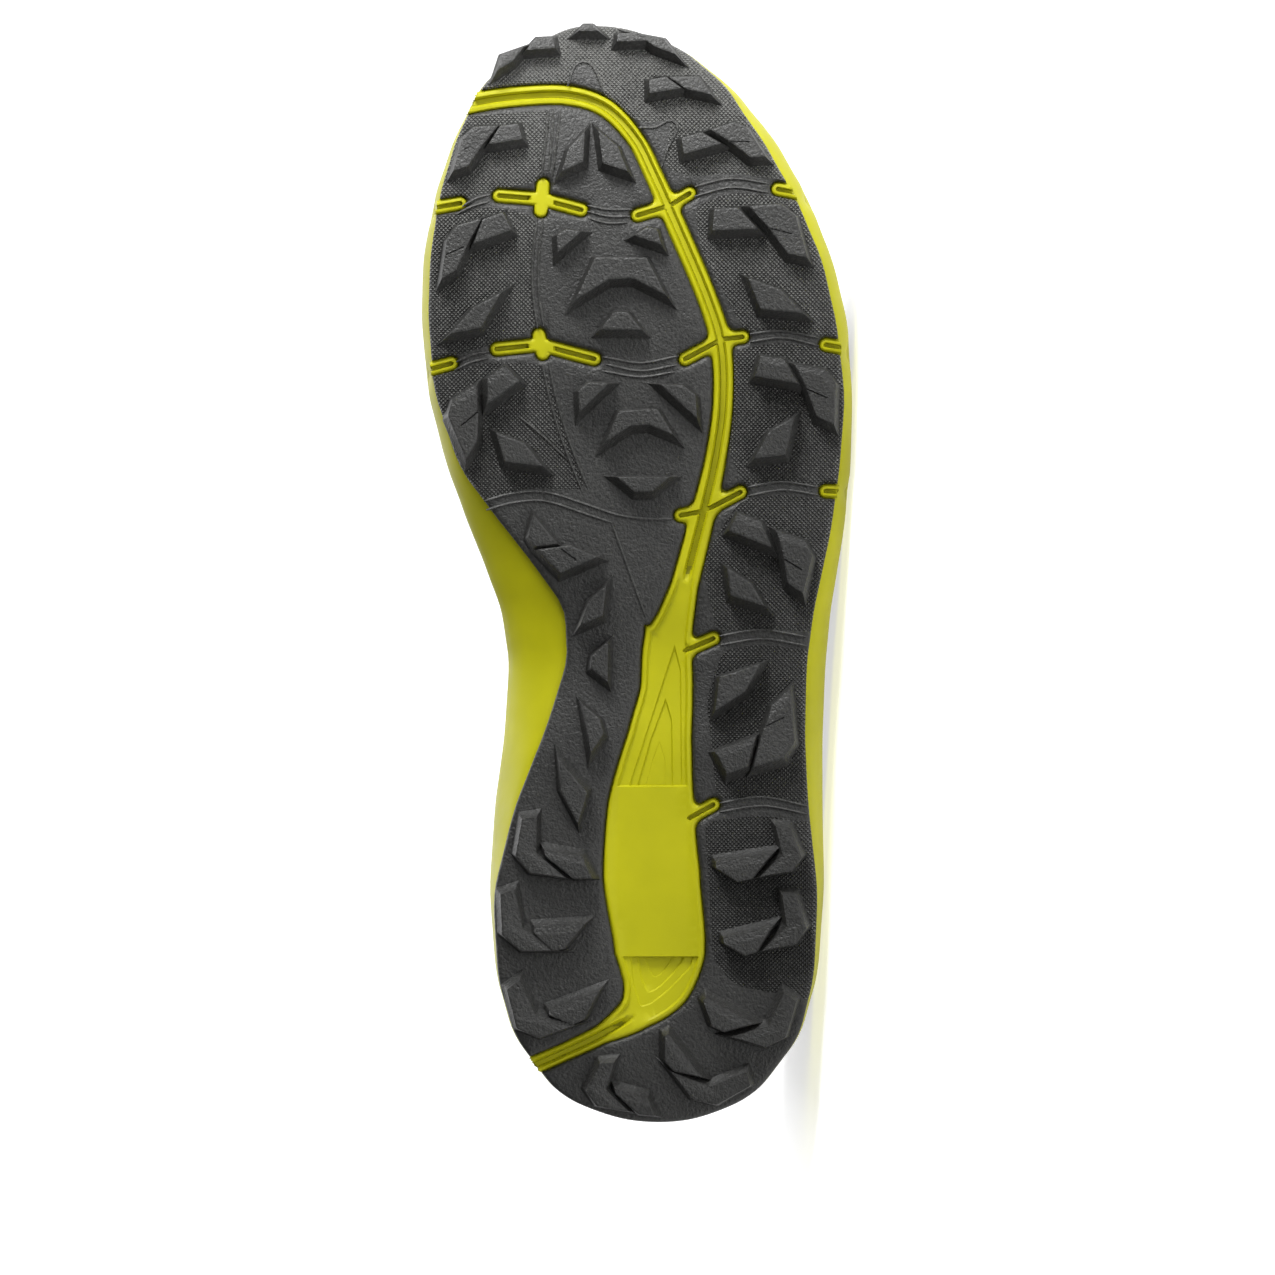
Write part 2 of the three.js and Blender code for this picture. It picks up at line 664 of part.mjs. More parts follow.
function midsoleBody() {
  const side = MIDSOLE_SIDE.map((row) => loop((turn) => {
    const plan = rubberAt(turn).lerp(insetAt(turn, SIDE_GROOVE * row.groove), row.out);
    return new THREE.Vector3(plan.x, plan.y, mix(foamHeight(plan.x), rimHeight(plan.x), row.up));
  }));
  const rim = raise(loop((turn) => insetAt(turn, RIM_ROUND)), rimHeight);
  const inner = raise(loop((turn) => insetAt(turn, bedInset)), rimHeight);
  const bed = raise(loop((turn) => insetAt(turn, bedInset)), bedHeight);
  return stack([...side, rim, inner, bed]);
}

// Foam that comes down through the rubber: the strip with its groove, the window under the
// arch with its raised plate, and the slots
function midsoleStrip() {
  const strip = prism(channelOutline((half) => half));
  const slots = SLOTS.map((row) => prism(slotOutline(row, SLOT_WIDTH)));
  const foam = joined([strip, ...slots]).intersect(rubberPlan);
  const window = between(WINDOW_FROM, WINDOW_TO);
  const groove = prism(channelOutline(() => GROOVE_WIDTH / 2)).subtract(window);
  const recess = prism(channelOutline((half) => Math.max(half - LIP, LIP))).intersect(window);
  const plateau = prism(channelOutline((half) => Math.max(half - PLATEAU_MARGIN, LIP)))
    .intersect(between(PLATEAU_FROM, PLATEAU_TO));
  return layer(0, PLATE + GAP + 1).intersect(foam)
    .subtract(layer(-1, GROOVE_DEPTH).intersect(groove))
    .subtract(layer(-1, WINDOW_DEPTH).intersect(recess.subtract(plateau)));
}

// Upper

const ringCurves = Object.fromEntries(
  ['domeIn', 'domeUp', 'wallIn', 'wallUp'].map(
    (column) => [column, through(UPPER_RINGS, 'level', column)],
  ),
);
const openingCurves = Object.fromEntries(
  ['medial', 'lateral', 'height'].map((column) => [column, through(OPENING, 'share', column, halfTurn)]),
);

function openingAt(turn) {
  const share = shareOf(turn) ** OPENING_LEAD;
  const x = mix(COLLAR_BACK, THROAT_FRONT, share) * SOLE_LENGTH;
  const side = turn <= Math.PI ? 'lateral' : 'medial';
  const y = openingCurves[side](halfTurn(share)) * HALF_WIDTH;
  return new THREE.Vector3(x, y, bedHeight(x) + COLLAR_HEIGHT * openingCurves.height(halfTurn(share)));
}

// Middle of the upper's form, before its wall is given a thickness
function formPoint(turn, level) {
  const around = (turn + 2 * Math.PI) % (2 * Math.PI);
  const plan = insetAt(around, bedInset + GAP + OVERLAY);
  const foot = new THREE.Vector3(plan.x, plan.y, bedHeight(plan.x) + GAP);
  const edge = openingAt(around);
  const dome = smooth(DOME_FROM, DOME_TO, shareOf(around));
  const inwards = mix(ringCurves.wallIn(level), ringCurves.domeIn(level), dome);
  const upwards = mix(ringCurves.wallUp(level), ringCurves.domeUp(level), dome);
  return new THREE.Vector3(
    mix(foot.x, edge.x, inwards),
    mix(foot.y, edge.y, inwards),
    mix(foot.z, edge.z, upwards),
  );
}

// Point at a distance outside the form, square to it
function upperPoint(turn, level, distance) {
  const along = formPoint(turn + 0.03, level).sub(formPoint(turn - 0.03, level));
  const low = clamp(level - 0.03, 0, 0.94);
  const up = formPoint(turn, low + 0.06).sub(formPoint(turn, low));
  const normal = up.cross(along);
  if (level < 0.05) normal.z = 0;
  return formPoint(turn, level).addScaledVector(normal.normalize(), distance);
}

function overlayAt(turn, level) {
  const share = shareOf(turn);
  const covers = (row) => share > row.from && share < row.to && level >= row.low && level <= row.high;
  return OVERLAYS.some(covers) ? OVERLAY : 0;
}

function upperShell() {
  const levels = UPPER_RINGS.map((row) => row.level);
  const outer = levels.map((level) => loop((turn) => upperPoint(turn, level, overlayAt(turn, level))));
  const inner = levels.map((level) => loop((turn) => upperPoint(turn, level, -WALL))).reverse();
  const rings = [...outer, ...inner, outer[0]];
  const points = rings.slice(0, -1).flat();
  const triangles = skin(rings).map((triangle) => triangle.map((i) => i % points.length));
  return closedSolid(points, triangles);
}

// Turn of an eyelet, row 0 at the toe end of the throat, on the lateral or medial side
function eyeletTurn(row, isLateral) {
  const turn = Math.PI * mix(EYELET_TO, EYELET_FROM, row / (EYELET_ROWS - 1));
  return isLateral ? turn : 2 * Math.PI - turn;
}

function eyeletHole(turn) {
  const inside = upperPoint(turn, EYELET_LEVEL, -3 * WALL);
  const outside = upperPoint(turn, EYELET_LEVEL, 3 * WALL);
  const radius = EYELET_DIAMETER / 2;
  const punch = new THREE.CylinderGeometry(radius, radius, inside.distanceTo(outside), 12);
  const heading = outside.clone().sub(inside).normalize();
  punch.applyQuaternion(new THREE.Quaternion().setFromUnitVectors(new THREE.Vector3(0, 1, 0), heading));
  const middle = inside.add(outside).multiplyScalar(0.5);
  return manifoldOf(punch.translate(middle.x, middle.y, middle.z));
}

function eyelets(make) {
  const rows = Array.from({ length: EYELET_ROWS }, (_, row) => row);
  return rows.flatMap((row) => [make(eyeletTurn(row, true)), make(eyeletTurn(row, false))]);
}

// Tongue

// Point under the upper's wall, where the tongue lies
const underWall = (turn, level) => upperPoint(turn, level, -WALL - SOFT_GAP);

// Row of the tongue along a path from its medial to its lateral edge
function tongueRow(path) {
  return new THREE.CatmullRomCurve3(path, false, 'centripetal').getSpacedPoints(TONGUE_COLUMNS);
}

// Row across the throat, with its edges tucked under the wall by a share of the wall's height
function throatRow(turn, tuck) {
  const medial = [1 - tuck, 1 - tuck / 2, 1].map((level) => underWall(2 * Math.PI - turn, level));
  const lateral = [1, 1 - tuck / 2, 1 - tuck].map((level) => underWall(turn, level));
  const middle = medial.at(-1).clone().lerp(lateral[0], 0.5);
  middle.z += TONGUE_CROWN * medial.at(-1).distanceTo(lateral[0]);
  return tongueRow([...medial, middle, ...lateral]);
}

// Row round the throat's front, under the vamp: how far its ends reach back along each side,
// as a share of a half turn, and the level of its middle
function frontRow(reach, level) {
  const path = [-1, -0.5, 0, 0.5, 1].map((side) => {
    const low = mix(level, TONGUE_FRONT_LEVEL, Math.abs(side));
    return underWall(Math.PI * (1 - reach * side), low);
  });
  return tongueRow(path);
}

// Rows above the collar, which lean back less and less and draw in to a round end
function tongueTop(last, before) {
  const middle = TONGUE_COLUMNS / 2;
  const rise = last[middle].clone().sub(before[middle]).normalize();
  return TONGUE_TOP.map((row) => last.map((point) => {
    const heading = rise.clone().lerp(new THREE.Vector3(0, 0, 1), row.upright).normalize();
    const moved = point.clone().addScaledVector(heading, row.share * TONGUE_TOP_LENGTH);
    moved.y = mix(last[middle].y, moved.y, row.width);
    return moved;
  }));
}

// Solid of a grid of points, thickened downwards square to the sheet
function sheetSolid(rows, thickness) {
  const count = rows[0].length;
  const under = rows.map((row, i) => row.map((point, k) => {
    const along = rows[Math.min(i + 1, rows.length - 1)][k].clone().sub(rows[Math.max(i - 1, 0)][k]);
    const across = row[Math.min(k + 1, count - 1)].clone().sub(row[Math.max(k - 1, 0)]);
    return point.clone().addScaledVector(along.cross(across).normalize(), thickness);
  }));
  const loops = rows.map((row, i) => [...row, ...under[i].reverse()]);
  const size = 2 * count;
  const end = (first) => Array.from({ length: count - 1 }, (_, k) => (
    quad(first + k, first + k + 1, first + size - k - 2, first + size - k - 1)
  )).flat();
  const start = end(0).map(([a, b, c]) => [a, c, b]);
  return closedSolid(loops.flat(), [...skin(loops), ...start, ...end((rows.length - 1) * size)]);
}

function tongue() {
  const rows = Array.from({ length: TONGUE_ROWS }, (_, i) => {
    const share = i / (TONGUE_ROWS - 1);
    const tuck = (1 - TONGUE_FRONT_LEVEL) * (1 - smooth(0.35, 1, share)) + TONGUE_LEAST_TUCK;
    return throatRow(Math.PI * mix(TONGUE_FROM, TONGUE_TO, share), tuck);
  });
  const front = TONGUE_FRONT.map((row) => frontRow(row.reach, row.level));
  return sheetSolid([...front, ...rows, ...tongueTop(rows.at(-1), rows.at(-2))], TONGUE_THICKNESS);
}

// Insole

function insole() {
  const edge = loop((turn) => insetAt(turn, bedInset + GAP + OVERLAY + WALL + SOFT_GAP));
  const under = raise(edge, (x) => bedHeight(x) + GAP);
  const over = raise(edge, (x) => bedHeight(x) + GAP + INSOLE_THICKNESS);
  return stack([under, over]);
}

// Laces

function laceAt(row, isLateral) {
  return upperPoint(eyeletTurn(row, isLateral), EYELET_LEVEL, OVERLAY + LACE_DIAMETER / 2 + LACE_GAP);
}

function laceTube(points) {
  const section = new THREE.Shape(Array.from({ length: LACE_SIDES }, (_, i) => {
    const angle = (2 * Math.PI * i) / LACE_SIDES;
    return new THREE.Vector2(Math.cos(angle), Math.sin(angle)).multiplyScalar(LACE_DIAMETER / 2);
  }));
  const path = new THREE.CatmullRomCurve3(points, false, 'centripetal');
  const steps = (points.length - 1) * LACE_STEPS;
  return manifoldOf(new THREE.ExtrudeGeometry(section, { steps, extrudePath: path, bevelEnabled: false }));
}

// High middle of a bar between two eyelets
function laceMiddle(from, to) {
  const middle = from.clone().lerp(to, 0.5);
  middle.z += LACE_ARCH;
  return middle;
}

// Strand that changes sides from row to row, joined to its twin where they cross
function laceStrand(startsLateral) {
  const points = [laceAt(0, startsLateral)];
  for (let row = 1; row < EYELET_ROWS; row += 1) {
    const next = laceAt(row, (row % 2 === 0) === startsLateral);
    points.push(laceMiddle(points.at(-1), next), next);
  }
  return laceTube(points);
}

function laces() {
  const from = laceAt(0, false);
  const to = laceAt(0, true);
  return joined([laceStrand(true), laceStrand(false), laceTube([from, laceMiddle(from, to), to])]);
}

// The shoe, and how it lies

const pieces = [
  { name: 'outsole_medial', solid: outsoleMedial, color: RUBBER, roughness: 0.85, density: 1.15 },
  { name: 'outsole_lateral', solid: outsoleLateral, color: RUBBER, roughness: 0.85, density: 1.15 },
  { name: 'midsole', solid: midsoleBody().add(midsoleStrip()), color: FOAM, roughness: 0.6, density: 0.2 },
  { name: 'upper', solid: upperShell().subtract(joined(eyelets(eyeletHole))), color: MESH, roughness: 0.9, density: 0.6 },
  { name: 'tongue', solid: tongue(), color: LINING, roughness: 0.95, density: 0.3 },
  { name: 'insole', solid: insole(), color: LINING, roughness: 0.95, density: 0.2 },
  { name: 'laces', solid: laces(), color: LACE, roughness: 0.9, density: 0.6 },
];

const meshes = pieces.map(({ name, solid, color, roughness }) => {
  const material = new THREE.MeshStandardMaterial({ color, roughness, metalness: 0 });
  const mesh = new THREE.Mesh(geometryOf(solid), material);
  mesh.name = name;
  return mesh;
});

const cornersOf = (mesh) => {
  const place = mesh.geometry.attributes.position;
  return Array.from({ length: place.count }, (_, i) => new THREE.Vector3().fromBufferAttribute(place, i));
};

// Balance point of all pieces, each weighed by its density
function balancePoint() {
  const sum = new THREE.Vector3();
  let mass = 0;
  meshes.forEach((mesh, i) => {
    const corners = cornersOf(mesh);
    const index = mesh.geometry.index.array;
    for (let k = 0; k < index.length; k += 3) {
      const [a, b, c] = [corners[index[k]], corners[index[k + 1]], corners[index[k + 2]]];
      const weight = (pieces[i].density * a.dot(b.clone().cross(c))) / 6;
      sum.addScaledVector(a.clone().add(b).add(c), weight / 4);
      mass += weight;
    }
  });
  return sum.divideScalar(mass);
}

// Direction that points down when the shoe lies on its lateral side: the face of its convex
// hull there which the balance point is over
function lyingDown() {
  const balance = balancePoint();
  const hull = new ConvexHull().setFromPoints(meshes.flatMap(cornersOf));
  let best = { margin: -Infinity };
  for (const face of hull.faces) {
    if (face.normal.y < 0.5) continue;
    const corners = [face.edge.tail().point, face.edge.head().point, face.edge.next.head().point];
    const margin = Math.min(...corners.map((corner, i) => {
      const side = corners[(i + 1) % 3].clone().sub(corner).normalize();
      return face.normal.dot(side.cross(balance.clone().sub(corner)));
    }));
    if (margin > best.margin) best = { margin, normal: face.normal.clone() };
  }
  return best.normal;
}

const shoe = new THREE.Group();
shoe.add(...meshes);
const zAxis = lyingDown().negate();
const xAxis = new THREE.Vector3(1, 0, 0).projectOnPlane(zAxis).normalize();
const yAxis = zAxis.clone().cross(xAxis);
shoe.setRotationFromMatrix(new THREE.Matrix4().makeBasis(xAxis, yAxis, zAxis).transpose());
shoe.updateMatrixWorld(true);
const box = new THREE.Box3().setFromObject(shoe, true);
const centre = box.getCenter(new THREE.Vector3());
shoe.position.set(-centre.x, -centre.y, -box.min.z);

const hikingShoe = new THREE.Group();
hikingShoe.add(shoe);
export default hikingShoe;
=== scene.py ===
import json
import math

import bmesh
import bpy
import numpy as np
from mathutils import Matrix, Vector, geometry


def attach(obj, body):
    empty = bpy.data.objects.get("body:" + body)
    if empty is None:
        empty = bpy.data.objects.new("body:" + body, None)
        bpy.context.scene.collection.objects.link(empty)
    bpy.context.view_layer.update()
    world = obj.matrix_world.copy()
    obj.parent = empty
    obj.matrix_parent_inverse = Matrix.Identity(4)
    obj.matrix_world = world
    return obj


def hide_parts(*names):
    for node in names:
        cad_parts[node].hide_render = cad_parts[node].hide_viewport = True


# Looks of a left low-cut hiking shoe that lies on its lateral side, sole to the camera.
# Pieces are made in the shoe's own frame, in millimetres: x from heel to toe, y to the lateral
# side, z up from the plane of the lugs. One matrix then lays each piece down.

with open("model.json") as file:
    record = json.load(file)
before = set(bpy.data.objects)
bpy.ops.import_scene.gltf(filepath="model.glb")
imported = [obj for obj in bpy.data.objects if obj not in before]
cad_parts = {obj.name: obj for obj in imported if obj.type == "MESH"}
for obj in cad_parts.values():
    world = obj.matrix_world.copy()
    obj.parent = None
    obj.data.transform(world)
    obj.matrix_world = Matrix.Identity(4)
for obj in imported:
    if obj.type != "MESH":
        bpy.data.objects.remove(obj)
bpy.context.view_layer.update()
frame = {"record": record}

# Sizes, as in the CAD part
SOLE_LENGTH = 300.0
HALF_WIDTH = 59.0
TOE_SPRING = 17.0
HEEL_BEVEL = 4.0
ARCH_RISE = 1.6
PLATE = 2.6
LUG_HEIGHT = 4.5
LUG_LEAN = 0.9
SLOT_WIDTH = 3.6
HEEL_STACK = 24.0
FOREFOOT_STACK = 13.0
RIM_HEIGHT = 4.0
RIM_WIDTH = 2.6
RIM_ROUND = 1.2
BED_INSET = RIM_ROUND + RIM_WIDTH
SIDE_GROOVE = 1.2
WALL = 2.2
OVERLAY = 0.9
COLLAR_HEIGHT = 72.0
TONGUE_THICKNESS = 3.0
TONGUE_TOP_LENGTH = 34.0
TONGUE_CROWN = 0.05
INSOLE_THICKNESS = 4.0
EYELET_DIAMETER = 5.0
LACE_DIAMETER = 3.6
GAP = 0.3
SOFT_GAP = 1.3

# Relief of the foam strip and of the rubber, only in the looks
LIP_DROP = 1.0
LIP_ROUND = 0.7
GROOVE_HALF = 1.35
GROOVE_DEPTH = 2.0
SLIT_HALF = 0.72
SLIT_DEPTH = 2.2
FILLET = 2.2
PLATE_ROUND = 1.2
RIDGE_HEIGHT = 0.5
RIDGE_HALF = 0.42
LUG_ROUND = 0.35
LIP_EXTRA = 0.6
GROOVE_FLAT = 0.45
SLIT_FLAT = 0.55
WINDOW_FADE_HEEL = 0.02
WINDOW_FADE_TOE = 0.03
STRIP_OVERHANG = 0.4
STRIP_SUNK = 1.0
# Share of the groove's depth past which the foam takes the darker painted shade
SHADE_RECESS_FROM = 0.7
WINDOW_FLOOR = 0.8
WINDOW_LEDGE = (1.3, 1.9)
WINDOW_PLATE_RISE = 0.75
SLIT_SHORE = (0.9, 1.15)
NUB_REACH = (3.2, 3.8)
RUBBER_STEPS = (0.0, 0.08, 0.25, 0.5, PLATE_ROUND)
FOAM_STEPS = (0.0, 0.12, 0.35, LIP_ROUND, *WINDOW_LEDGE)
GROOVE_STEPS = (0.5, 1.0, GROOVE_HALF)
SLIT_STEPS = (SLIT_HALF * 0.5, SLIT_HALF)
KNURL_ROUND = 3.0
LOOP_STEP = 1.5
FLAT_STEP = 3.0

# Where the sole's long curve bends, as shares of its length
TOE_BREAK = 0.70
HEEL_BREAK = 0.11
ARCH_FROM = 0.33
ARCH_TO = 0.50
STACK_FROM = 0.22
STACK_TO = 0.66

# The photograph's frame, for the places that are written in its pixels
HEEL_ROW = 1123
MIDDLE_COLUMN = 637
SHARE_ROWS = 1101
SHARE_COLUMNS = 216

# Outline of the sole and of its rubber, in shares of the length and of half the ball's width.
# It follows edges that were measured in the photograph.
OUTLINE = np.array([
    [0.000, 0.11, 0.11, 0.10, 0.10],
    [0.021, -0.32, 0.50, -0.31, 0.49],
    [0.075, -0.56, 0.74, -0.55, 0.73],
    [0.130, -0.65, 0.83, -0.64, 0.81],
    [0.210, -0.685, 0.865, -0.66, 0.83],
    [0.290, -0.66, 0.86, -0.56, 0.79],
    [0.350, -0.62, 0.86, -0.44, 0.775],
    [0.420, -0.60, 0.875, -0.33, 0.785],
    [0.470, -0.64, 0.90, -0.35, 0.82],
    [0.530, -0.755, 0.95, -0.57, 0.885],
    [0.590, -0.87, 0.985, -0.80, 0.93],
    [0.660, -0.965, 0.995, -0.93, 0.955],
    [0.730, -1.00, 0.97, -0.965, 0.915],
    [0.790, -0.99, 0.895, -0.955, 0.84],
    [0.850, -0.93, 0.77, -0.905, 0.705],
    [0.905, -0.83, 0.60, -0.815, 0.54],
    [0.950, -0.70, 0.40, -0.69, 0.375],
    [0.982, -0.49, 0.17, -0.48, 0.16],
    [1.000, -0.21, -0.21, -0.21, -0.21],
])

# Middle line and half width of the foam strip
CHANNEL = np.array([
    [0.915, -0.98, 0.045],
    [0.928, -0.77, 0.046],
    [0.935, -0.52, 0.046],
    [0.935, -0.31, 0.045],
    [0.924, -0.15, 0.042],
    [0.895, -0.01, 0.037],
    [0.864, 0.07, 0.038],
    [0.822, 0.165, 0.042],
    [0.745, 0.33, 0.042],
    [0.708, 0.385, 0.045],
    [0.655, 0.395, 0.045],
    [0.603, 0.36, 0.047],
    [0.555, 0.305, 0.055],
    [0.489, 0.218, 0.062],
    [0.458, 0.175, 0.085],
    [0.435, 0.14, 0.112],
    [0.393, 0.134, 0.120],
    [0.352, 0.104, 0.146],
    [0.290, 0.064, 0.198],
    [0.225, 0.065, 0.222],
    [0.153, 0.104, 0.206],
    [0.123, 0.074, 0.160],
    [0.100, -0.01, 0.085],
    [0.080, -0.17, 0.042],
    [0.064, -0.34, 0.038],
    [0.040, -0.62, 0.042],
])
WINDOW_FROM = 0.085
WINDOW_TO = 0.480

# Narrow slots through the rubber: from and to, and whether a slit runs down the middle
SLOTS = np.array([
    [0.829, -1.02, 0.836, -0.82, 1],
    [0.680, -1.05, 0.690, -0.86, 1],
    [0.843, -0.64, 0.840, -0.45, 1],
    [0.840, -0.45, 0.830, -0.26, 1],
    [0.703, -0.65, 0.707, -0.45, 1],
    [0.707, -0.45, 0.694, -0.20, 1],
    [0.853, -0.437, 0.829, -0.447, 0],
    [0.716, -0.456, 0.699, -0.437, 0],
    [0.834, 0.15, 0.825, 0.00, 1],
    [0.834, 0.15, 0.845, 0.24, 1],
    [0.712, 0.39, 0.694, 0.22, 1],
    [0.712, 0.39, 0.714, 0.485, 1],
    [0.556, 0.31, 0.552, 0.20, 1],
    [0.556, 0.31, 0.573, 0.475, 1],
    [0.429, 0.22, 0.440, 0.35, 1],
    [0.277, 0.24, 0.289, 0.35, 1],
    [0.840, 0.88, 0.849, 0.65, 1],
    [0.700, 1.06, 0.707, 0.87, 1],
    [0.573, 1.06, 0.574, 0.87, 1],
])

# Forms of lugs: corners as shares of the long edge and of the depth beside it
LUG_FORMS = {
    "claw": [(0, 0), (0.53, 0.05), (1, 0), (0.70, 0.87), (0.40, 1), (-0.25, 0.43)],
    "paddle": [(0, 0), (0.27, -0.36), (0.60, -0.25), (1, 0), (0.76, 0.9), (0.53, 1)],
    "block": [(0, 0), (1, 0), (0.94, 0.97), (0.42, 1)],
    "leaf": [(0, 0), (0.52, -0.4), (1, 0), (0.42, 1)],
    "fang": [(0, 0), (1, 0), (0.66, 0.9), (0.34, 1)],
    "arch": [(0, 0), (0.24, 1), (0.80, 0.94), (1, 0), (0.64, 0.45), (0.38, 0.45)],
    "wedge": [(0, 0), (1, 0), (0.66, 1), (0.34, 1)],
    "hook": [(0, 0), (0.53, 0.45), (1, 0), (1.06, 0.40), (0.62, 1), (0.29, 0.84)],
    "tooth": [(0, 0), (1, 0), (0.58, 0.95), (0.32, 1), (-0.02, 0.25)],
    "fin": [(0, 0), (0.65, 1), (1, 0), (0.70, -0.75), (0.07, -0.35)],
}

# Each lug: kind, long edge from tail to head, depth to the left of that edge
LUGS = [
    ("wedge", 0.994, -0.278, 0.994, -0.178, -0.034),
    ("block", 0.976, -0.520, 0.978, -0.378, -0.058),
    ("leaf", 0.957, -0.652, 0.980, -0.523, -0.042),
    ("block", 0.985, 0.051, 0.984, -0.098, 0.042),
    ("leaf", 0.972, 0.180, 0.992, -0.006, 0.040),
    ("block", 0.941, 0.208, 0.936, 0.053, 0.068),
    ("leaf", 0.935, 0.344, 0.952, 0.139, 0.056),
    ("block", 0.890, 0.392, 0.880, 0.212, 0.080),
    ("claw", 0.877, 0.522, 0.903, 0.335, 0.107),
    ("block", 0.889, -0.692, 0.894, -0.529, -0.080),
    ("claw", 0.869, -0.783, 0.907, -0.641, -0.102),
    ("leaf", 0.864, -0.353, 0.902, -0.242, 0.066),
    ("leaf", 0.864, -0.041, 0.903, -0.183, -0.075),
    ("block", 0.798, -0.759, 0.811, -0.578, -0.095),
    ("claw", 0.774, -0.837, 0.822, -0.717, -0.103),
    ("leaf", 0.716, -0.869, 0.755, -0.623, 0.069),
    ("fang", 0.790, -0.370, 0.810, -0.254, -0.066),
    ("fang", 0.797, 0.114, 0.806, -0.018, 0.066),
    ("arch", 0.747, -0.289, 0.751, 0.135, -0.195),
    ("wedge", 0.720, -0.176, 0.720, 0.022, -0.085),
    ("block", 0.812, 0.557, 0.810, 0.344, 0.105),
    ("claw", 0.789, 0.693, 0.833, 0.511, 0.142),
    ("leaf", 0.768, 0.507, 0.735, 0.767, 0.093),
    ("block", 0.651, -0.699, 0.674, -0.542, -0.103),
    ("paddle", 0.602, -0.792, 0.672, -0.740, -0.113),
    ("leaf", 0.628, -0.656, 0.596, -0.432, 0.090),
    ("fang", 0.645, -0.270, 0.672, -0.127, -0.078),
    ("fang", 0.639, 0.277, 0.671, 0.100, 0.078),
    ("arch", 0.618, -0.150, 0.624, 0.170, -0.140),
    ("wedge", 0.587, -0.102, 0.587, 0.153, 0.071),
    ("block", 0.671, 0.747, 0.678, 0.537, 0.105),
    ("claw", 0.641, 0.825, 0.690, 0.718, 0.144),
    ("leaf", 0.603, 0.535, 0.642, 0.726, 0.095),
    ("block", 0.522, 0.623, 0.538, 0.416, 0.098),
    ("claw", 0.490, 0.691, 0.539, 0.636, 0.142),
    ("leaf", 0.505, 0.409, 0.469, 0.591, 0.080),
    ("fang", 0.526, -0.365, 0.553, -0.480, -0.093),
    ("leaf", 0.521, -0.463, 0.514, -0.182, 0.097),
    ("leaf", 0.452, -0.267, 0.490, -0.141, 0.066),
    ("fang", 0.400, -0.136, 0.438, -0.134, -0.083),
    ("fang", 0.336, -0.216, 0.381, -0.255, 0.076),
    ("leaf", 0.271, -0.275, 0.330, -0.361, 0.085),
    ("leaf", 0.374, 0.356, 0.418, 0.573, -0.097),
    ("block", 0.353, 0.552, 0.338, 0.354, -0.124),
    ("paddle", 0.396, 0.706, 0.323, 0.532, -0.125),
    ("hook", 0.222, -0.329, 0.278, -0.464, -0.168),
    ("fin", 0.248, -0.431, 0.222, -0.205, -0.063),
    ("hook", 0.156, -0.358, 0.212, -0.564, -0.173),
    ("tooth", 0.178, -0.476, 0.181, -0.240, 0.115),
    ("hook", 0.089, -0.281, 0.130, -0.541, -0.185),
    ("tooth", 0.103, -0.411, 0.120, -0.175, 0.103),
    ("tooth", 0.237, 0.361, 0.245, 0.626, 0.107),
    ("hook", 0.223, 0.561, 0.269, 0.638, 0.159),
    ("tooth", 0.168, 0.396, 0.179, 0.626, 0.103),
    ("hook", 0.156, 0.573, 0.207, 0.667, 0.159),
    ("tooth", 0.114, 0.316, 0.090, 0.543, 0.105),
    ("hook", 0.078, 0.426, 0.118, 0.676, 0.163),
    ("tooth", 0.081, 0.143, 0.041, 0.302, 0.093),
    ("hook", 0.047, 0.149, 0.046, 0.502, 0.154),
    ("hook", 0.010, -0.039, 0.055, -0.108, -0.163),
    ("fin", 0.031, -0.104, 0.006, 0.083, -0.051),
]

# Fine ridges on the rubber, as lines of places in the photograph's frame
RIDGES = [
    [(462, 206), (476, 198), (490, 194)],
    [(456, 214), (472, 206), (489, 201)],
    [(587, 205), (606, 209), (632, 209)],
    [(588, 218), (608, 223), (628, 222)],
    [(587, 211), (607, 216), (630, 216)],
    [(456, 362), (472, 355), (489, 352)],
    [(455, 370), (472, 362), (489, 358)],
    [(602, 357), (640, 363), (678, 356)],
    [(604, 364), (640, 371), (676, 365)],
    [(602, 371), (640, 377), (674, 372)],
    [(694, 186), (730, 178), (768, 183)],
    [(694, 196), (730, 187), (768, 192)],
    [(749, 334), (780, 331), (818, 338)],
    [(749, 342), (782, 338), (818, 346)],
    [(747, 487), (780, 482), (817, 487)],
    [(747, 496), (782, 490), (817, 495)],
    [(719, 636), (760, 630), (806, 637)],
    [(720, 645), (762, 639), (806, 646)],
    [(719, 803), (760, 797), (806, 806)],
    [(719, 812), (762, 806), (806, 814)],
    [(484, 501), (510, 494), (543, 492), (587, 505), (617, 515), (646, 519), (672, 519)],
    [(486, 510), (512, 503), (543, 501), (585, 514), (612, 523)],
    [(611, 523), (628, 570), (645, 617)],
    [(548, 108), (545, 140), (541, 176)],
    [(553, 108), (551, 140), (548, 172)],
    [(560, 108), (556, 140), (552, 176)],
    [(518, 416), (540, 434), (565, 458)],
    [(567, 84), (575, 63), (583, 59), (592, 64), (603, 90)],
    [(638, 126), (655, 126), (670, 119), (677, 126), (668, 146), (661, 166)],
    [(537, 218), (533, 250), (532, 290), (537, 328)],
    [(543, 218), (539, 250), (538, 290), (543, 326)],
    [(548, 362), (556, 400), (570, 445), (588, 490)],
    [(542, 364), (550, 402), (564, 447), (582, 492)],
]

# Thin slits in the faces of some lugs
SIPES = [
    [(728, 141), (749, 141)], [(767, 228), (791, 234)], [(805, 389), (826, 398)], [(783, 559), (801, 570)],
    [(765, 726), (783, 717)], [(561, 549), (576, 560)], [(464, 149), (482, 141)], [(446, 255), (464, 247)],
    [(461, 426), (478, 412)],
]

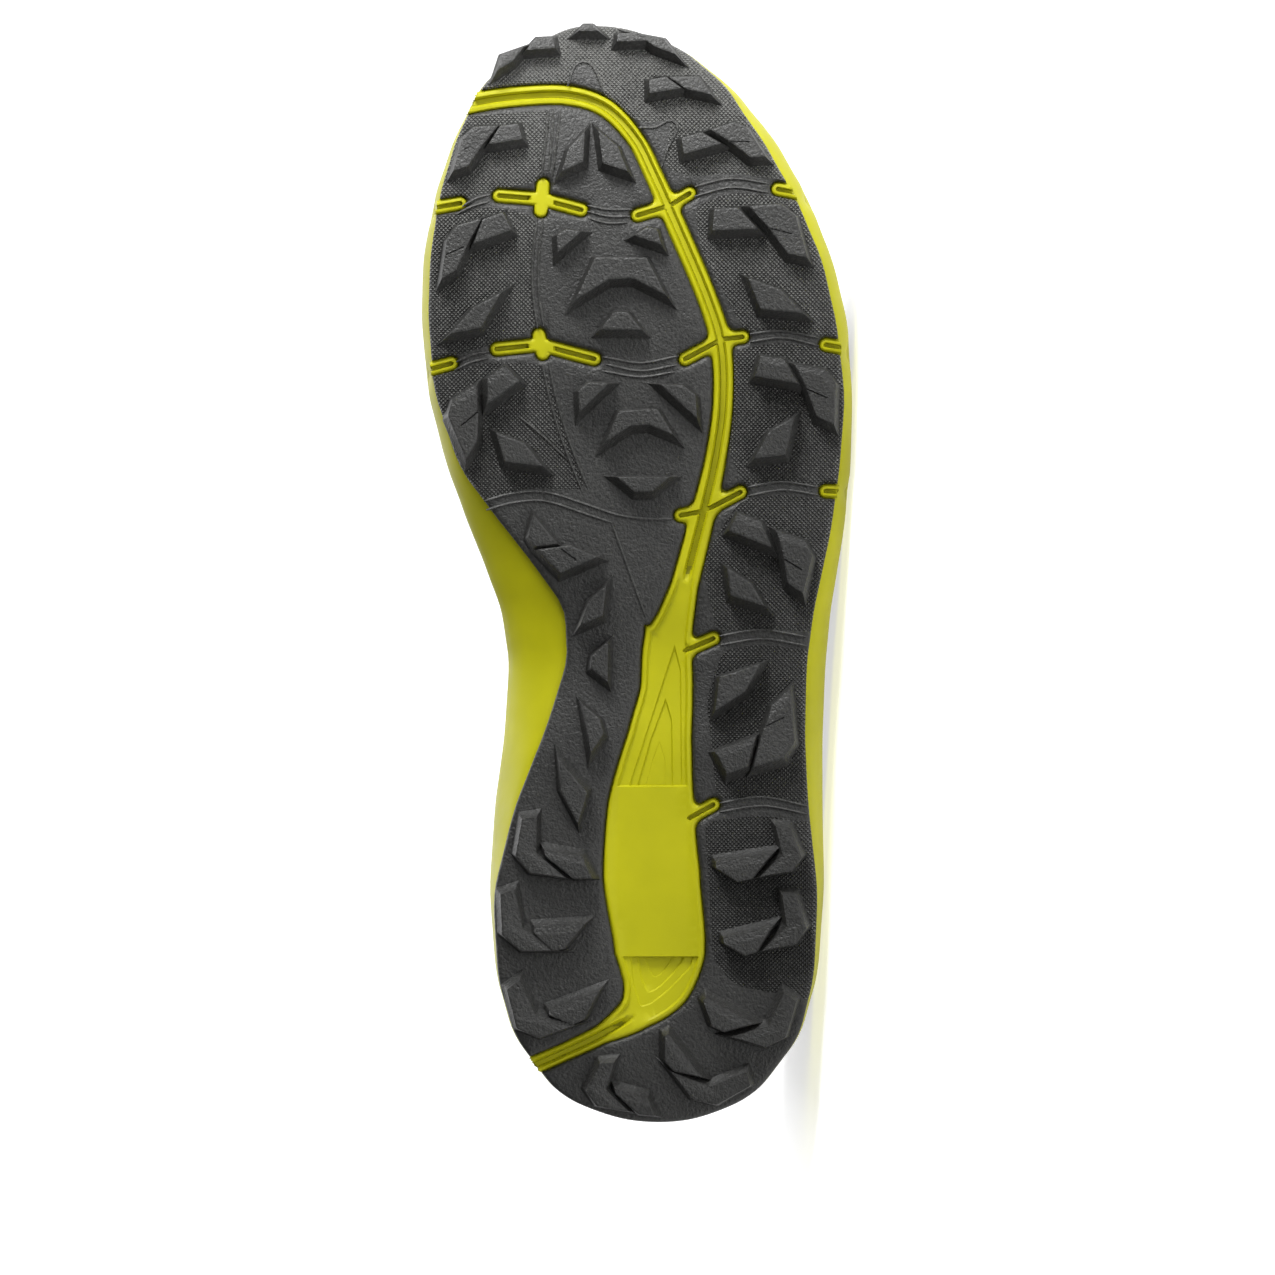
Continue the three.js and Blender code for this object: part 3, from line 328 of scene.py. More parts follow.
# Panels with a fine cross-hatched knurl, in the photograph's frame
KNURLS = [
    [(430, 92), (520, 84), (568, 84), (576, 62), (590, 62), (602, 92), (640, 122), (672, 118),
     (662, 166), (690, 176), (730, 172), (775, 178), (900, 176), (900, 0), (420, 0)],
    [(400, 120), (552, 108), (541, 180), (500, 188), (436, 206), (400, 214)],
    [(400, 218), (440, 216), (490, 206), (536, 216), (532, 290), (536, 328), (488, 346),
     (440, 360), (400, 366)],
    [(400, 380), (440, 374), (490, 362), (544, 364), (560, 420), (586, 490), (530, 488),
     (480, 500), (400, 500)],
    [(694, 206), (730, 192), (780, 196), (900, 200), (900, 336), (820, 336), (780, 330),
     (744, 332), (700, 250)],
    [(734, 350), (780, 342), (830, 350), (900, 350), (900, 484), (820, 486), (780, 480),
     (742, 486), (724, 440)],
    [(740, 500), (780, 494), (830, 500), (900, 500), (900, 640), (808, 632), (760, 628),
     (716, 632), (700, 560)],
    [(722, 650), (760, 644), (806, 650), (900, 650), (900, 810), (806, 804), (760, 796),
     (716, 800), (706, 700)],
    [(704, 822), (760, 815), (806, 822), (860, 822), (860, 1010), (790, 996), (735, 986), (712, 960),
     (708, 880)],
]

# Corner of foam at the front of the window, the steps in the window's floor, and its plain plate
WINDOW_SHOULDER = [(645, 626), (662, 623), (684, 640), (686, 720), (640, 720), (642, 660)]
WINDOW_STEPS = [
    ([(674, 647), (680, 670), (681, 786), (629, 786), (652, 715)], 0.5),
    ([(665, 700), (671, 720), (672, 786), (637, 786), (651, 738)], 0.5),
    ([(659, 743), (664, 760), (664, 786), (646, 786), (652, 762)], 0.5),
    ([(630, 957), (633, 985), (640, 1007), (650, 1004), (668, 990), (690, 967), (692, 957)], 0.45),
    ([(637, 957), (641, 980), (648, 993), (658, 988), (674, 972), (684, 957)], 0.45),
    ([(645, 957), (649, 970), (654, 978), (662, 972), (672, 957)], 0.45),
]
WINDOW_PLATE = [(600, 786), (720, 786), (720, 957), (600, 957)]
STEP_WIDTH = 0.2

# Side of the midsole from the rubber up: share of the way out, share of the way up to the rim,
# share of the side groove's depth
MIDSOLE_SIDE = np.array([
    [0.00, 0.00, 0], [0.10, 0.02, 0], [0.30, 0.08, 0], [0.50, 0.16, 0], [0.72, 0.26, 0],
    [0.90, 0.38, 0], [0.98, 0.47, 0], [1.00, 0.54, 0], [1.00, 0.55, 0.2], [1.00, 0.565, 1],
    [1.00, 0.60, 1.1], [1.00, 0.635, 1], [1.00, 0.65, 0.2], [1.00, 0.66, 0], [1.00, 0.80, 0],
    [1.00, 0.95, 0.0], [1.00, 0.985, 0.3],
])
# Small notches in the outline beside the slots: along, side, in the outline's shares
NOTCHES = [(0.829, -1), (0.680, -1), (0.840, 1), (0.700, 1), (0.573, 1)]
NOTCH_DEPTH = 1.0
NOTCH_WIDTH = 2.2
NOTCH_FADE = (0.54, 0.9)
RIM_SHOULDER = 0.5
MIDSOLE_POINTS = 420
RUBBER_LOOP_POINTS = 260
TURN_STEP = 0.02

# Angles in degrees from which an edge of the mesh stays sharp
MOULDED_EDGE = 32
LASTED_EDGE = 40
PADDED_EDGE = 50
CORD_EDGE = 60

# Middle of the heel lug's face that the record's first mount names
HEEL_FACE = (50.76, -22.66)

# Numbers and curves


def mix(a, b, t):
    return a + (b - a) * t


def smooth(low, high, value):
    t = np.clip((value - low) / (high - low), 0, 1)
    return t * t * (3 - 2 * t)


def through(xs, ys):
    """Smooth curve through points, the same as the CAD part's."""
    xs = np.asarray(xs, float)
    ys = np.asarray(ys, float)
    last = len(xs) - 1
    before = np.maximum(np.arange(last + 1) - 1, 0)
    after = np.minimum(np.arange(last + 1) + 1, last)
    slopes = (ys[after] - ys[before]) / (xs[after] - xs[before])

    def at(x):
        i = np.clip(np.searchsorted(xs, x, side="left") - 1, 0, last - 1)
        width = xs[i + 1] - xs[i]
        t = np.clip((x - xs[i]) / width, 0, 1)
        a = ys[i] + slopes[i] * width * t * (1 - t) ** 2
        b = ys[i + 1] - slopes[i + 1] * width * t ** 2 * (1 - t)
        return mix(a, b, t * t * (3 - 2 * t))

    return at


def half_turn(share):
    return np.arccos(1 - 2 * np.clip(share, 0, 1))


def share_of(turn):
    return (1 - np.cos(turn)) / 2


def tread_height(x):
    """Height of the rubber's underside between the lugs."""
    share = x / SOLE_LENGTH
    toe = np.maximum(0, (share - TOE_BREAK) / (1 - TOE_BREAK))
    heel = np.maximum(0, (HEEL_BREAK - share) / HEEL_BREAK)
    arch = np.sin(np.pi * np.clip((share - ARCH_FROM) / (ARCH_TO - ARCH_FROM), 0, 1))
    return LUG_HEIGHT + TOE_SPRING * toe ** 2 + HEEL_BEVEL * heel ** 2 + ARCH_RISE * arch ** 2


def foam_height(x):
    return tread_height(x) + PLATE + GAP


def bed_height(x):
    return foam_height(x) + mix(HEEL_STACK, FOREFOOT_STACK, smooth(STACK_FROM, STACK_TO, x / SOLE_LENGTH))


def rim_height(x):
    return bed_height(x) + RIM_HEIGHT


def from_photo(points):
    """Plan places from places in the photograph's frame."""
    points = np.asarray(points, float).reshape(-1, 2)
    along = (HEEL_ROW - points[:, 1]) / SHARE_ROWS * SOLE_LENGTH
    across = (points[:, 0] - MIDDLE_COLUMN) / SHARE_COLUMNS * HALF_WIDTH
    return np.stack([along, across], 1)


def plan(shares):
    return np.asarray(shares, float) * np.array([SOLE_LENGTH, HALF_WIDTH])


outline_curves = [through(half_turn(OUTLINE[:, 0]), OUTLINE[:, k]) for k in range(1, 5)]


def edge_at(turn, medial, lateral):
    """Plan points of an outline. A turn runs from the heel up the lateral side and back."""
    around = np.mod(turn, 2 * np.pi)
    folded = np.pi - np.abs(np.pi - around)
    across = np.where(around <= np.pi, outline_curves[lateral](folded), outline_curves[medial](folded))
    return plan(np.stack([share_of(around), across], -1))


def outline_at(turn):
    return edge_at(turn, 0, 1)


def rubber_at(turn):
    return edge_at(turn, 2, 3)


def inset_at(turn, inset):
    tangent = outline_at(turn + TURN_STEP) - outline_at(turn - TURN_STEP)
    tangent /= np.linalg.norm(tangent, axis=-1, keepdims=True)
    normal = np.stack([tangent[..., 1], -tangent[..., 0]], -1)
    return outline_at(turn) + normal * np.asarray(inset)[..., None]


def turns(count):
    return np.arange(count) * 2 * np.pi / count


def lengths_along(line):
    """Length from the start of a line to each of its points."""
    return np.concatenate([[0], np.cumsum(np.linalg.norm(np.diff(line, axis=0), axis=1))])


def places_along(line, at):
    """Points of a line at some lengths along it."""
    lengths = lengths_along(line)
    return np.stack([np.interp(at, lengths, line[:, k]) for k in range(line.shape[1])], 1)


def plan_normals(line):
    """Unit normals, to the left, of a line in the plan."""
    tangent = np.gradient(line, axis=0)
    tangent /= np.linalg.norm(tangent, axis=1, keepdims=True)
    return np.stack([-tangent[:, 1], tangent[:, 0]], 1)


def resampled(points, step, closed=False):
    """Points a step apart along a line."""
    points = np.asarray(points, float)
    if closed:
        points = np.vstack([points, points[:1]])
    length = lengths_along(points)[-1]
    count = max(2, int(round(length / step)) + 1)
    line = places_along(points, np.linspace(0, length, count))
    return line[:-1] if closed else line


def bent(points, per_span=8):
    """Centripetal curve through a few points."""
    points = np.asarray(points, float)
    ends = [2 * points[0] - points[1], 2 * points[-1] - points[-2]]
    p = np.vstack([ends[0], points, ends[1]])
    out = []
    for i in range(1, len(p) - 2):
        knots = [0.0]
        for a, b in zip(p[i - 1:i + 2], p[i:i + 3]):
            knots.append(knots[-1] + max(np.linalg.norm(b - a), 1e-9) ** 0.5)
        for t in np.linspace(knots[1], knots[2], per_span, endpoint=False):
            out.append(centripetal(p[i - 1:i + 3], knots, t))
    out.append(points[-1])
    return np.array(out)


def centripetal(p, knots, t):
    def lerp(a, b, i, j):
        return a * (knots[j] - t) / (knots[j] - knots[i]) + b * (t - knots[i]) / (knots[j] - knots[i])

    a = [lerp(p[i], p[i + 1], i, i + 1) for i in range(3)]
    b = [lerp(a[i], a[i + 1], i, i + 2) for i in range(2)]
    return lerp(b[0], b[1], 1, 2)


# Distances in the plan


def line_distance(points, line):
    """Distance from each point to an open line."""
    best = np.full(len(points), np.inf)
    for a, b in zip(line[:-1], line[1:]):
        along = b - a
        t = np.clip(((points - a) @ along) / max(along @ along, 1e-12), 0, 1)
        gap = points - a - t[:, None] * along
        best = np.minimum(best, np.einsum("ij,ij->i", gap, gap))
    return np.sqrt(best)


def inside(points, loop):
    """Whether each point lies inside a closed line."""
    result = np.zeros(len(points), bool)
    for a, b in zip(loop, np.roll(loop, -1, axis=0)):
        if a[1] == b[1]:
            continue
        spans = (a[1] > points[:, 1]) != (b[1] > points[:, 1])
        crossing = a[0] + (b[0] - a[0]) * (points[:, 1] - a[1]) / (b[1] - a[1])
        result ^= spans & (points[:, 0] < crossing)
    return result


def depth_in(points, loop):
    """Distance to a closed line, positive inside it."""
    far = line_distance(points, np.vstack([loop, loop[:1]]))
    return np.where(inside(points, loop), far, -far)


def smooth_max(a, b, width):
    blend = np.clip(0.5 + (a - b) / (2 * width), 0, 1)
    return mix(b, a, blend) + width * blend * (1 - blend)


# Fields over the sole's plan: they say where rubber and foam are, and how high

rubber_loop = rubber_at(turns(RUBBER_LOOP_POINTS))
channel_line = bent(CHANNEL[:, :2] * np.array([SOLE_LENGTH, HALF_WIDTH]), 6)
channel_half = np.interp(np.linspace(0, 1, len(channel_line)), np.linspace(0, 1, len(CHANNEL)),
                         CHANNEL[:, 2]) * HALF_WIDTH


def strip_loop():
    normal = plan_normals(channel_line) * channel_half[:, None]
    return np.vstack([channel_line + normal, (channel_line - normal)[::-1]])


strip = strip_loop()
window_shoulder = from_photo(WINDOW_SHOULDER)


def slot_line(row):
    return plan([[row[0], row[1]], [row[2], row[3]]])


def slot_reach(points, slits_only=False):
    """Distance to the nearest slot's middle line."""
    best = np.full(len(points), np.inf)
    for row in SLOTS:
        if slits_only and not row[4]:
            continue
        best = np.minimum(best, line_distance(points, slot_line(row)))
    return best


def nub_distance(points):
    """Distance to the nearest flat nub across a slot."""
    return np.min([line_distance(points, slot_line(row)) for row in SLOTS if not row[4]], axis=0)


def foam_depth(points):
    """How far inside the foam that shows between the rubber a point lies."""
    slots = SLOT_WIDTH / 2 - slot_reach(points)
    wide = np.maximum(depth_in(points, strip), depth_in(points, window_shoulder))
    return smooth_max(wide, slots, FILLET)


def foam_relief(points, depth):
    """Height of the foam strip above the rubber's underside, down being proud of it."""
    edge = np.clip(depth / LIP_ROUND, 0, 1)
    lip = LIP_DROP + LIP_EXTRA * (1 - edge) ** 2
    share = points[:, 0] / SOLE_LENGTH
    narrow = 1 - smooth(WINDOW_FROM, WINDOW_FROM + WINDOW_FADE_HEEL, share) * (
        1 - smooth(WINDOW_TO, WINDOW_TO + WINDOW_FADE_TOE, share))
    middle = line_distance(points, channel_line)
    groove = GROOVE_DEPTH * (1 - smooth(GROOVE_FLAT * GROOVE_HALF, GROOVE_HALF, middle)) * narrow
    slit = SLIT_DEPTH * (1 - smooth(SLIT_HALF * SLIT_FLAT, SLIT_HALF, slot_reach(points, True)))
    slit *= smooth(*SLIT_SHORE, depth) * smooth(*NUB_REACH, nub_distance(points))
    window = window_relief(points, depth) * (1 - narrow)
    return lip + np.maximum(np.maximum(groove, slit), window)


window_steps = [(from_photo(places), depth) for places, depth in WINDOW_STEPS]
window_plate = from_photo(WINDOW_PLATE)


def window_relief(points, depth):
    """Recess of the window under the arch, with its nested steps and its raised plate."""
    floor = WINDOW_FLOOR * smooth(*WINDOW_LEDGE, depth)
    plate = smooth(-STEP_WIDTH, STEP_WIDTH, depth_in(points, window_plate))
    floor *= 1 - WINDOW_PLATE_RISE * plate
    for loop, step in window_steps:
        floor = floor + step * smooth(-STEP_WIDTH, STEP_WIDTH, depth_in(points, loop))
    return floor


# Contours of a field on a grid, as one set of short edges

GRID_STEP = 0.6
GRID_CORNERS = ((-4, -HALF_WIDTH - 3), (SOLE_LENGTH + 4, HALF_WIDTH + 3))


class Grid:
    """Even grid of points over the plan."""

    def __init__(self, low, high, step):
        self.xs = np.arange(low[0], high[0] + step, step)
        self.ys = np.arange(low[1], high[1] + step, step)
        x, y = np.meshgrid(self.xs, self.ys, indexing="ij")
        self.points = np.stack([x.ravel(), y.ravel()], 1)
        self.shape = x.shape

    def contour(self, values, level):
        """Points and edges where the values cross a level."""
        field = values.reshape(self.shape) - level
        field = np.where(np.abs(field) < 1e-6, 1e-6, field)
        sign = field > 0
        ids = {}
        points = []

        def crossing(i, j, axis):
            key = (i, j, axis)
            if key not in ids:
                k, m = (i + 1, j) if axis == 0 else (i, j + 1)
                t = field[i, j] / (field[i, j] - field[k, m])
                ids[key] = len(points)
                points.append((mix(self.xs[i], self.xs[k], t), mix(self.ys[j], self.ys[m], t)))
            return ids[key]

        mixed = (sign[:-1, :-1] != sign[1:, :-1]) | (sign[:-1, :-1] != sign[:-1, 1:]) | (
            sign[1:, 1:] != sign[1:, :-1]) | (sign[1:, 1:] != sign[:-1, 1:])
        edges = []
        for i, j in zip(*np.nonzero(mixed)):
            around = crossed_sides(sign, i, j)
            for a, b in zip(around[::2], around[1::2]):
                edges.append((crossing(*a), crossing(*b)))
        return points, edges


def crossed_sides(sign, i, j):
    """Sides of a grid's cell between points of unlike sign, in order round the cell."""
    corners = [(i, j), (i + 1, j), (i + 1, j + 1), (i, j + 1), (i, j)]
    sides = [(i, j, 0), (i + 1, j, 1), (i, j + 1, 0), (i, j, 1)]
    return [side for side, a, b in zip(sides, corners, corners[1:]) if sign[a] != sign[b]]


def line_part(line, closed=False):
    """A line as points and edges."""
    count = len(line)
    edges = [(i, (i + 1) % count) for i in range(count if closed else count - 1)]
    return [tuple(p) for p in line], edges


def triangulated(parts, spare):
    """Triangles over all the points, with every edge of the parts kept."""
    points = []
    edges = []
    for part_points, part_edges in parts:
        first = len(points)
        points.extend(part_points)
        edges.extend((first + a, first + b) for a, b in part_edges)
    points.extend(tuple(p) for p in spare)
    result = geometry.delaunay_2d_cdt([Vector(p) for p in points], edges, [], 0, 1e-5, False)
    return np.array([tuple(p) for p in result[0]]), np.array(result[2])


# Meshes


class Shell:
    """Points, faces and a material number for each face, gathered piece by piece."""

    def __init__(self):
        self.points = []
        self.faces = []
        self.materials = []

    def add(self, points, faces, material=0):
        first = sum(len(p) for p in self.points)
        self.points.append(np.asarray(points, float))
        self.faces.extend([first + i for i in face] for face in faces)
        if np.isscalar(material):
            self.materials.extend([material] * len(faces))
        else:
            self.materials.extend(material)

    def build(self, name, materials, sharp_from=MOULDED_EDGE, placed=True):
        """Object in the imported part's frame or, if not placed, in the shoe's own."""
        mesh = bpy.data.meshes.new(name)
        points = np.vstack(self.points) * 0.001
        mesh.from_pydata(points.tolist(), [], self.faces)
        for material in materials:
            mesh.materials.append(material)
        mesh.polygons.foreach_set("material_index", self.materials)
        mesh.validate()
        face_outwards(mesh)
        if placed:
            mesh.transform(shoe_matrix)
        mesh.shade_smooth()
        mesh.set_sharp_from_angle(angle=math.radians(sharp_from))
        obj = bpy.data.objects.new(name, mesh)
        bpy.context.scene.collection.objects.link(obj)
        return obj


def face_outwards(mesh):
    """Turns the faces of each closed part outwards."""
    work = bmesh.new()
    work.from_mesh(mesh)
    bmesh.ops.recalc_face_normals(work, faces=work.faces)
    work.to_mesh(mesh)
    work.free()


def shoe_frame():
    """Matrix from the shoe's own frame, in metres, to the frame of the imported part."""
    mount = frame["record"]["mounts"][0]
    up = -Vector(mount["axis"]).normalized()
    along = Vector((up.z, 0, -up.x))
    along = (along if along.x > 0 else -along).normalized()
    side = up.cross(along)
    turned = Matrix((along, side, up)).transposed()
    face = Vector((HEEL_FACE[0], HEEL_FACE[1], 0)) * 0.001
    place = Vector(mount["pos_m"]) - turned @ face
    return Matrix.Translation(place) @ turned.to_4x4()


shoe_matrix = shoe_frame()


def slab(points, triangles, low, high, shell, material):
    """Closed slab over flat triangles: its underside at low, its back at high."""
    count = len(points)
    under = np.column_stack([points, low])
    over = np.column_stack([points, high])
    used = {}
    for a, b, c in triangles:
        for edge in ((a, b), (b, c), (c, a)):
            used[edge] = used.get(edge, 0) + 1
    walls = [(a, b, b + count, a + count) for a, b in used if (b, a) not in used]
    faces = [(c, b, a) for a, b, c in triangles]
    faces += [(a + count, b + count, c + count) for a, b, c in triangles]
    materials = list(material) + [0] * (len(triangles) + len(walls))
    shell.add(np.vstack([under, over]), faces + walls, materials)


def kept(points, triangles, test):
    """The triangles whose middles pass a test, and only the points that they use."""
    middles = points[triangles].mean(1)
    chosen = triangles[test(middles)]
    used, index = np.unique(chosen, return_inverse=True)
    return points[used], index.reshape(-1, 3)


def ring_faces(rings, count):
    """Faces between rings of points, one ring after another."""
    faces = []
    for i in range(rings - 1):
        for k in range(count):
            n = (k + 1) % count
            faces.append((i * count + k, i * count + n, (i + 1) * count + n, (i + 1) * count + k))
    return faces


def capped_faces(rings, count):
    """Faces between rings, with the first and the last ring closed."""
    last = (rings - 1) * count
    caps = [tuple(range(count - 1, -1, -1)), tuple(range(last, last + count))]
    return ring_faces(rings, count) + caps


def looped_faces(rings, count):
    """Faces between rings, and from the last ring back to the first."""
    last = (rings - 1) * count
    seam = [(last + k, last + (k + 1) % count, (k + 1) % count, k) for k in range(count)]
    return ring_faces(rings, count) + seam


def mirrored_faces(count):
    """Faces that close a ring whose points mirror each other, from one half to the other."""
    faces = [(k, k + 1, count - k - 1, (count - k) % count) for k in range(count // 2)]
    return [tuple(dict.fromkeys(face)) for face in faces]


# Outsole

# Rings of a lug from its face down: how far out of the face's outline, share of the height,
# and share of the facet along its toeward edge
LUG_RINGS = [(-0.75, 0.0, 1), (-0.40, 0.0, 1), (-0.12, 0.025, 0), (0.0, 0.085, 0), (0.95, 0.90, 0),
             (1.3, 1.0, 0), (1.4, 1.12, 0)]
FACETED = ("hook", "tooth", "block", "claw", "paddle", "fin")
FACETED_WAY = 0.55
FACETS_BEFORE = 0.70
FACET_WIDTH = 1.5
FACET_DROP = 0.16
CORNER_STEPS = 3
CORNER_MOST = 0.4
LEAST_TURN = 0.3
SIPE_WIDTH = 0.4
SIPE_DEPTH = 1.5

# Section of a ridge: shares of its half width and of its height, and how its ends taper
RIDGE_SECTION = [(-1.15, -0.3), (-0.75, 0.55), (0, 1), (0.75, 0.55), (1.15, -0.3)]
RIDGE_END_WIDTH = 0.35
RIDGE_END_HEIGHT = 0.3


def rubber_depth(points, foam):
    """How far inside the rubber a point lies."""
    return np.minimum(depth_in(points, rubber_loop), -foam - GAP)


def plate_rise(depth):
    """How much the plate's rounded edge draws back."""
    edge = np.clip(depth / PLATE_ROUND, 0, 1)
    return PLATE_ROUND * (1 - np.sqrt(np.maximum(0, 1 - (1 - edge) ** 2)))


def spread(points, distances):
    """Moves each edge of a closed line outwards, by one distance or one for each edge."""
    area = np.sum(points[:, 0] * np.roll(points[:, 1], -1) - np.roll(points[:, 0], -1) * points[:, 1])
    after = edge_ways(points)
    before = np.roll(after, 1, axis=0)
    normal_after = np.stack([after[:, 1], -after[:, 0]], 1) * np.sign(area)
    normal_before = np.roll(normal_after, 1, axis=0)
    out_after = np.broadcast_to(distances, len(points))
    out_before = np.roll(out_after, 1)
    turn = before[:, 0] * after[:, 1] - before[:, 1] * after[:, 0]
    straight = np.abs(turn) < LEAST_TURN
    turn = np.where(straight, 1, turn)
    shift = normal_after * out_after[:, None] - normal_before * out_before[:, None]
    along = (shift[:, 0] * after[:, 1] - shift[:, 1] * after[:, 0]) / turn
    along = np.where(straight, 0, along)
    return points + normal_before * out_before[:, None] + before * along[:, None]


def cut_back(loop, k, width):
    """Moves an edge of a counter-clockwise loop inwards, sliding its ends along the other edges."""
    loop = loop.copy()
    count = len(loop)
    start = loop[k].copy()
    way = edge_ways(loop)[k]
    inward = np.array([-way[1], way[0]])
    for first, step in (((k + 1) % count, 1), (k, -1)):
        passed = [first]
        while len(passed) < count:
            here = loop[passed[-1]]
            after = loop[(passed[-1] + step) % count]
            near, far = (here - start) @ inward, (after - start) @ inward
            if far >= width:
                loop[passed] = mix(here, after, (width - near) / (far - near))
                break
            passed.append((passed[-1] + step) % count)
    return loop


def edge_ways(points):
    """Direction of the edge that leaves each point of a closed line."""
    ways = np.roll(points, -1, axis=0) - points
    return ways / np.maximum(np.linalg.norm(ways, axis=1, keepdims=True), 1e-9)


def lug_outline(row):
    """Flat face of a lug, counter-clockwise."""
    kind, tail_along, tail_across, head_along, head_across, depth = row
    tail, head = plan([[tail_along, tail_across], [head_along, head_across]])
    edge = head - tail
    left = np.array([-edge[1], edge[0]]) / np.linalg.norm(edge) * depth * HALF_WIDTH
    outline = np.array([tail + edge * u + left * v for u, v in LUG_FORMS[kind]])
    x, y = outline.T
    area = np.sum(x * np.roll(y, -1) - np.roll(x, -1) * y)
    return outline if area > 0 else outline[::-1]


def rounded(points, radius, steps=3):
    """Closed line with its corners cut to short arcs."""
    out = []
    for before, point, after in zip(np.roll(points, 1, axis=0), points, np.roll(points, -1, axis=0)):
        a, b = (point + (other - point) * share_near(other, point, radius) for other in (before, after))
        for t in np.linspace(0, 1, steps):
            out.append((1 - t) ** 2 * a + 2 * t * (1 - t) * point + t ** 2 * b)
    return np.array(out)


def share_near(other, point, radius):
    """How far towards the other point a corner's arc starts, as a share."""
    return min(radius / max(np.linalg.norm(other - point), 1e-6), CORNER_MOST)


def lug(row, shell):
    """One lug with softened edges, square to the sole's curve, leaning as in the CAD part."""
    sharp = lug_outline(row)
    centre = sharp.mean(0)
    slope = (tread_height(centre[0] + 1) - tread_height(centre[0] - 1)) / 2
    ground = tread_height(centre[0]) - LUG_HEIGHT
    lean = LUG_LEAN if row[1] < ARCH_FROM else -LUG_LEAN
    toeward = edge_ways(sharp)[:, 1]
    faceted = (toeward > FACETED_WAY) & (row[0] in FACETED and row[1] < FACETS_BEFORE)
    drops = np.repeat(np.maximum(faceted, np.roll(faceted, 1)), CORNER_STEPS) * FACET_DROP
    rings = []
    for grow, share, facet in LUG_RINGS:
        ring = spread(sharp, grow)
        for k in np.nonzero(faceted & (facet > 0))[0]:
            ring = cut_back(ring, k, FACET_WIDTH)
        ring = rounded(ring, LUG_ROUND, CORNER_STEPS)
        shares = np.maximum(share, drops * (1 - facet))
        ring = ring + np.stack([lean * np.maximum(0, shares), 0 * shares], 1)
        height = ground + slope * (ring[:, 0] - centre[0]) + shares * LUG_HEIGHT
        rings.append(np.column_stack([ring, height]))
    faces = capped_faces(len(rings), len(rings[0]))
    points, faces = slit_open(np.vstack(rings), faces, sipes_on(sharp))
    shell.add(points, faces, 0)


def sipes_on(outline):
    """The thin slits whose middle lies on a lug's face."""
    lines = [from_photo(places) for places in SIPES]
    return [line for line in lines if inside(line.mean(0)[None], outline)[0]]


def slit_open(points, faces, lines):
    """Cuts thin slits into a lug."""
    if not lines:
        return points, faces
    body = Shell()
    body.add(points, faces)
    blades = Shell()
    for line in lines:
        blade(line, points[:, 2].min(), blades)
    lug_object = body.build("lug_to_cut", [], placed=False)
    cutter = blades.build("lug_blades", [], placed=False)
    subtract(lug_object, cutter, "MANIFOLD")
    cut_points = [tuple(v.co * 1000) for v in lug_object.data.vertices]
    cut_faces = [tuple(p.vertices) for p in lug_object.data.polygons]
    bpy.data.objects.remove(lug_object)
    return np.array(cut_points), cut_faces


def blade(line, top, shell):
    way = (line[1] - line[0]) / np.linalg.norm(line[1] - line[0])
    side = np.array([-way[1], way[0]]) * SIPE_WIDTH / 2
    flat = np.array([line[0] + side, line[0] - side, line[1] - side, line[1] + side])
    low = np.column_stack([flat, np.full(4, top - 1)])
    high = np.column_stack([flat, np.full(4, top + SIPE_DEPTH)])
    shell.add(np.vstack([low, high]), [(3, 2, 1, 0), (4, 5, 6, 7), *ring_faces(2, 4)])


def subtract(obj, cutter, solver):
    """Takes one object away from another, and removes it."""
    cut = obj.modifiers.new("cut", "BOOLEAN")
    cut.operation = "DIFFERENCE"
    cut.solver = solver
    cut.object = cutter
    bpy.context.view_layer.update()
    graph = bpy.context.evaluated_depsgraph_get()
    mesh = bpy.data.meshes.new_from_object(obj.evaluated_get(graph))
    obj.modifiers.clear()
    obj.data = mesh
    bpy.data.objects.remove(cutter)


def ridge(places, shell):
    """Low rounded ridge along a line of places in the photograph's frame."""
    line = resampled(bent(from_photo(places), 6), 1.2)
    normal = plan_normals(line)
    ends = np.minimum(1, np.minimum(np.arange(len(line)), np.arange(len(line))[::-1]) / 1.5)
    rows = []
    for side, up in RIDGE_SECTION:
        offset = normal * (side * RIDGE_HALF * mix(RIDGE_END_WIDTH, 1, ends))[:, None]
        height = tread_height(line[:, 0]) - up * RIDGE_HEIGHT * mix(RIDGE_END_HEIGHT, 1, ends)
        rows.append(np.column_stack([line + offset, height]))
    count = len(line)
    faces = [(r * count + k, r * count + k + 1, ((r + 1) % 5) * count + k + 1, ((r + 1) % 5) * count + k)
             for r in range(5) for k in range(count - 1)]
    faces.append(tuple(r * count for r in range(5)))
    faces.append(tuple(r * count + count - 1 for r in range(4, -1, -1)))
    shell.add(np.vstack(rows), faces, 2)


def is_medial(points):
    """Whether points lie on the medial side of the foam strip."""
    far = -3 * HALF_WIDTH
    ends = np.array([[channel_line[-1, 0], far], [channel_line[0, 0], far]])
    return inside(points, np.vstack([channel_line, ends]))


grid = Grid(*GRID_CORNERS, GRID_STEP)
foam_field = foam_depth(grid.points)


def flat_points():
    """Plain rows of points, so that the flat parts follow the sole's curve."""
    return Grid(*GRID_CORNERS, FLAT_STEP).points + 0.01


def plates():
    """Points and triangles of both rubber plates, and the outlines of the knurled panels."""
    field = rubber_depth(grid.points, foam_field)
    parts = [grid.contour(field, level) for level in RUBBER_STEPS]
    knurls = [rounded(from_photo(places), KNURL_ROUND, 5) for places in KNURLS]
    parts += [line_part(resampled(loop, LOOP_STEP, True), True) for loop in knurls]
    points, triangles = triangulated(parts, flat_points())
    return points, triangles, knurls


def in_plate(medial):
    """Test for places that lie in the medial or in the lateral plate."""
    def test(places):
        field = rubber_depth(places, foam_depth(places))
        return (field > 0) & (is_medial(places) == medial)

    return test


